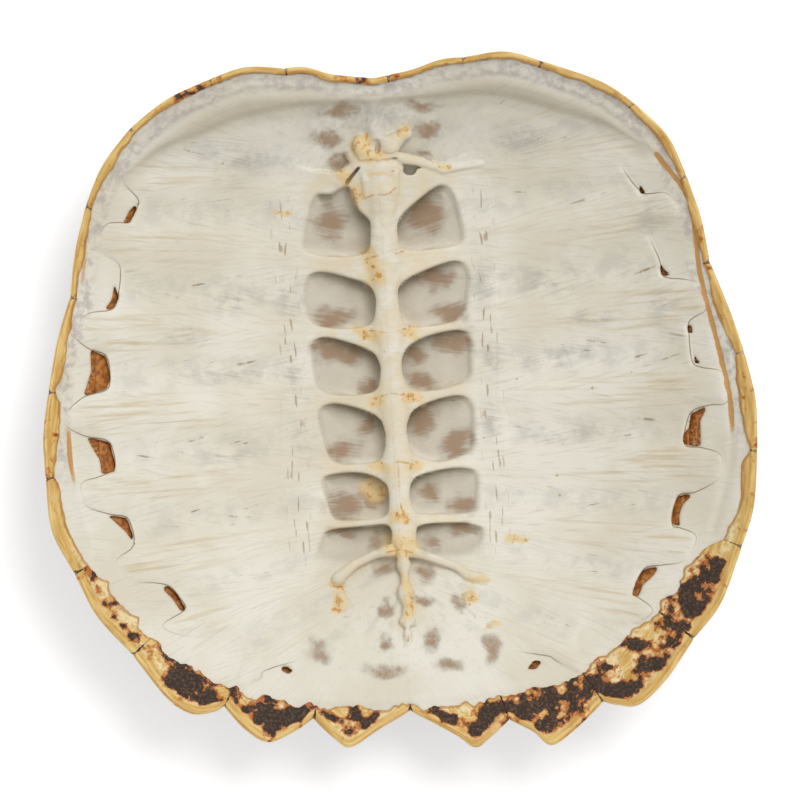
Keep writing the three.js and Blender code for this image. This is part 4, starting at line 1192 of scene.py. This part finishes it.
AMBER = colour(202, 156, 76)
PALE_AMBER = colour(232, 198, 124)
DEEP_AMBER = colour(172, 112, 36)
HORN_CREAM = colour(240, 222, 172)
RUST = colour(184, 98, 20)
CRUST = colour(54, 40, 31)
CRUST_PALE = colour(104, 80, 60)
RIM_DARK = colour(66, 38, 18)

amber_horn, wire = new_material("amber_rim_horn")
spot = wire.object_place()
kind = wire.stored("kind")
inward = wire.stored("inward")
crust = wire.stored("crust")
tail = wire.stored("tail")
to_edge = wire.stored("to_lip_edge")
round_rim = wire.stored("round_rim")
patchy = wire.cloud(spot, 110.0, 5.0, 0.6)
blotchy = wire.cloud(spot, 60.0, 3.0, 0.5)
speck = wire.cloud(spot, 750.0, 4.0, 0.65)
fleck = wire.cloud(spot, 330.0, 3.0, 0.6)
streak = wire.cloud(wire.place(round_rim * 0.07, inward * 0.7), 1.0, 4.0, 0.6)
base = wire.between(AMBER, PALE_AMBER, streak.rising(0.35, 0.65))
tail_lip = tail.rising(0.03, 0.3) * inward.rising(3.0, 6.0)
base = base.mixed(HORN_CREAM, (patchy * 0.6 + fleck * 0.4).rising(0.42, 0.56) * tail_lip)
inner_edge = 1 - to_edge.rising(0.2, 1.6)
base = base.mixed(DEEP_AMBER, ((patchy - 0.5) * 1.6 + inner_edge * 0.5).rising(0.1, 0.45) * 0.65)
base = base.mixed(RUST, (fleck.rising(0.6, 0.68) * patchy.rising(0.5, 0.62)) * 0.8)
halo = (crust + (fleck - 0.5) * 1.1 + (speck - 0.5) * 0.9).rising(-0.36, -0.06)
base = base.mixed(RUST, halo * 0.92)
crack = 1 - (blotchy - 0.5).sum("ABSOLUTE", blotchy - 0.5).rising(0.006, 0.02)
crusted = crust + (fleck - 0.5) * 0.9 + (speck - 0.5) * 0.9
crusted = (crusted - crack * patchy.rising(0.48, 0.6) * 0.6).rising(0.0, 0.08)
dark = wire.between(CRUST, CRUST_PALE, speck.rising(0.45, 0.7))
base = base.mixed(dark, crusted)
seam_width = 0.35 + 1.3 * (1 - inward.rising(0.0, 2.5))
seam = 1 - (wire.stored("seam") + (fleck - 0.5) * 2.4).rising(0.1, seam_width)
base = base.mixed(RIM_DARK, seam * (0.25 + 0.75 * patchy.rising(0.42, 0.5)))
skin = wire.between(BLACK_HORN, DARK_HORN, patchy.rising(0.35, 0.65))
skin = skin.mixed(WORN_HORN, (streak * 0.5 + patchy * 0.5).rising(0.5, 0.68) * 0.7)
skin = skin.mixed(AMBER, 1 - inward.rising(2.0, 6.0 + patchy * 4.0))
base = base.mixed(skin, 1 - kind.rising(0.3, 0.7))
under_lip = wire.between(INNER_HORN_DARK, INNER_HORN, speck.rising(0.4, 0.6))
under_lip = under_lip.mixed(INNER_HORN_PALE, (patchy * 0.5 + speck * 0.5).rising(0.52, 0.62) * 0.55)
base = base.mixed(under_lip, kind.rising(2.6, 2.9))
rough = 0.36 + crusted * 0.4 + patchy * 0.12
finish_surface(wire, base, rough, speck * 0.6 + fleck * 0.4, 0.25)

cervical_left = angle_of(CERVICAL_EDGE[2])
cervical_right = angle_of(CERVICAL_EDGE[0])
marginal_scute("cervical_scute", cervical_right, cervical_left, -1, 1)
for side, word, seams in ((-1, "left", RIM_SEAMS_LEFT), (1, "right", RIM_SEAMS_RIGHT)):
    for number in range(12):
        ends = sorted((angle_of(seams[number]), angle_of(seams[number + 1])))
        if ends[1] - ends[0] > math.pi:
            ends = [ends[1] - 2 * math.pi, ends[0]]
        marginal_scute(f"marginal_scute_{word}_{number + 1}", ends[0], ends[1], side, 3 * number + side)

# Studio: a plain white floor and one large soft lamp, set towards the neck end and the right, in an
# evenly bright room. The camera looks straight down into the hollow.
FLOOR = colour(250, 250, 250)
FLOOR_GLOW = 0.37
ROOM_BRIGHTNESS = 0.58
floor_material, wire = new_material("white_floor")
speck = wire.cloud(wire.object_place(), 30.0, 2.0)
floor_colour = wire.between(FLOOR, colour(252, 252, 252), speck)
glow = {"Emission Color": (1.0, 1.0, 1.0, 1.0), "Emission Strength": FLOOR_GLOW}
finish_surface(wire, floor_colour, 0.9, speck, 0.01, glow)
floor_mesh = bpy.data.meshes.new("floor")
FLOOR_HALF = 4.0
FLOOR_DROP = -0.0006
floor_signs = ((-1, -1), (1, -1), (1, 1), (-1, 1))
floor_corners = [(sx * FLOOR_HALF, sy * FLOOR_HALF, FLOOR_DROP) for sx, sy in floor_signs]
floor_mesh.from_pydata(floor_corners, [], [(0, 1, 2, 3)])
floor_mesh.materials.append(floor_material)
floor = bpy.data.objects.new("floor", floor_mesh)
bpy.context.scene.collection.objects.link(floor)


def softbox(name, place, size, watts):
    lamp = bpy.data.lights.new(name, "AREA")
    lamp.shape = "DISK"
    lamp.size = size
    lamp.energy = watts
    made = bpy.data.objects.new(name, lamp)
    made.location = place
    towards = -made.location
    made.rotation_euler = towards.to_track_quat("-Z", "Y").to_euler()
    bpy.context.scene.collection.objects.link(made)


softbox("key", place=(0.6, 0.75, 2.15), size=1.0, watts=24)
world = bpy.data.worlds.new("studio")
world.use_nodes = True
world.node_tree.nodes["Background"].inputs["Color"].default_value = (1.0, 1.0, 1.0, 1.0)
world.node_tree.nodes["Background"].inputs["Strength"].default_value = ROOM_BRIGHTNESS
bpy.context.scene.world = world
bpy.context.scene.view_settings.view_transform = "Standard"

CAMERA_OVER = (3.6, 2.6)
CAMERA_HEIGHT = 2400
CAMERA_TURN = math.radians(-3.2)
VIEW_ACROSS = 350
RIM_PLANE = 78
lens = bpy.data.cameras.new("camera")
lens.sensor_width = 36
lens.lens = lens.sensor_width * (CAMERA_HEIGHT - RIM_PLANE) / VIEW_ACROSS
lens.clip_end = 20
camera = bpy.data.objects.new("camera", lens)
camera.location = (CAMERA_OVER[0] * 0.001, CAMERA_OVER[1] * 0.001, CAMERA_HEIGHT * 0.001)
camera.rotation_euler = (0, 0, CAMERA_TURN)
bpy.context.scene.collection.objects.link(camera)
bpy.context.scene.camera = camera
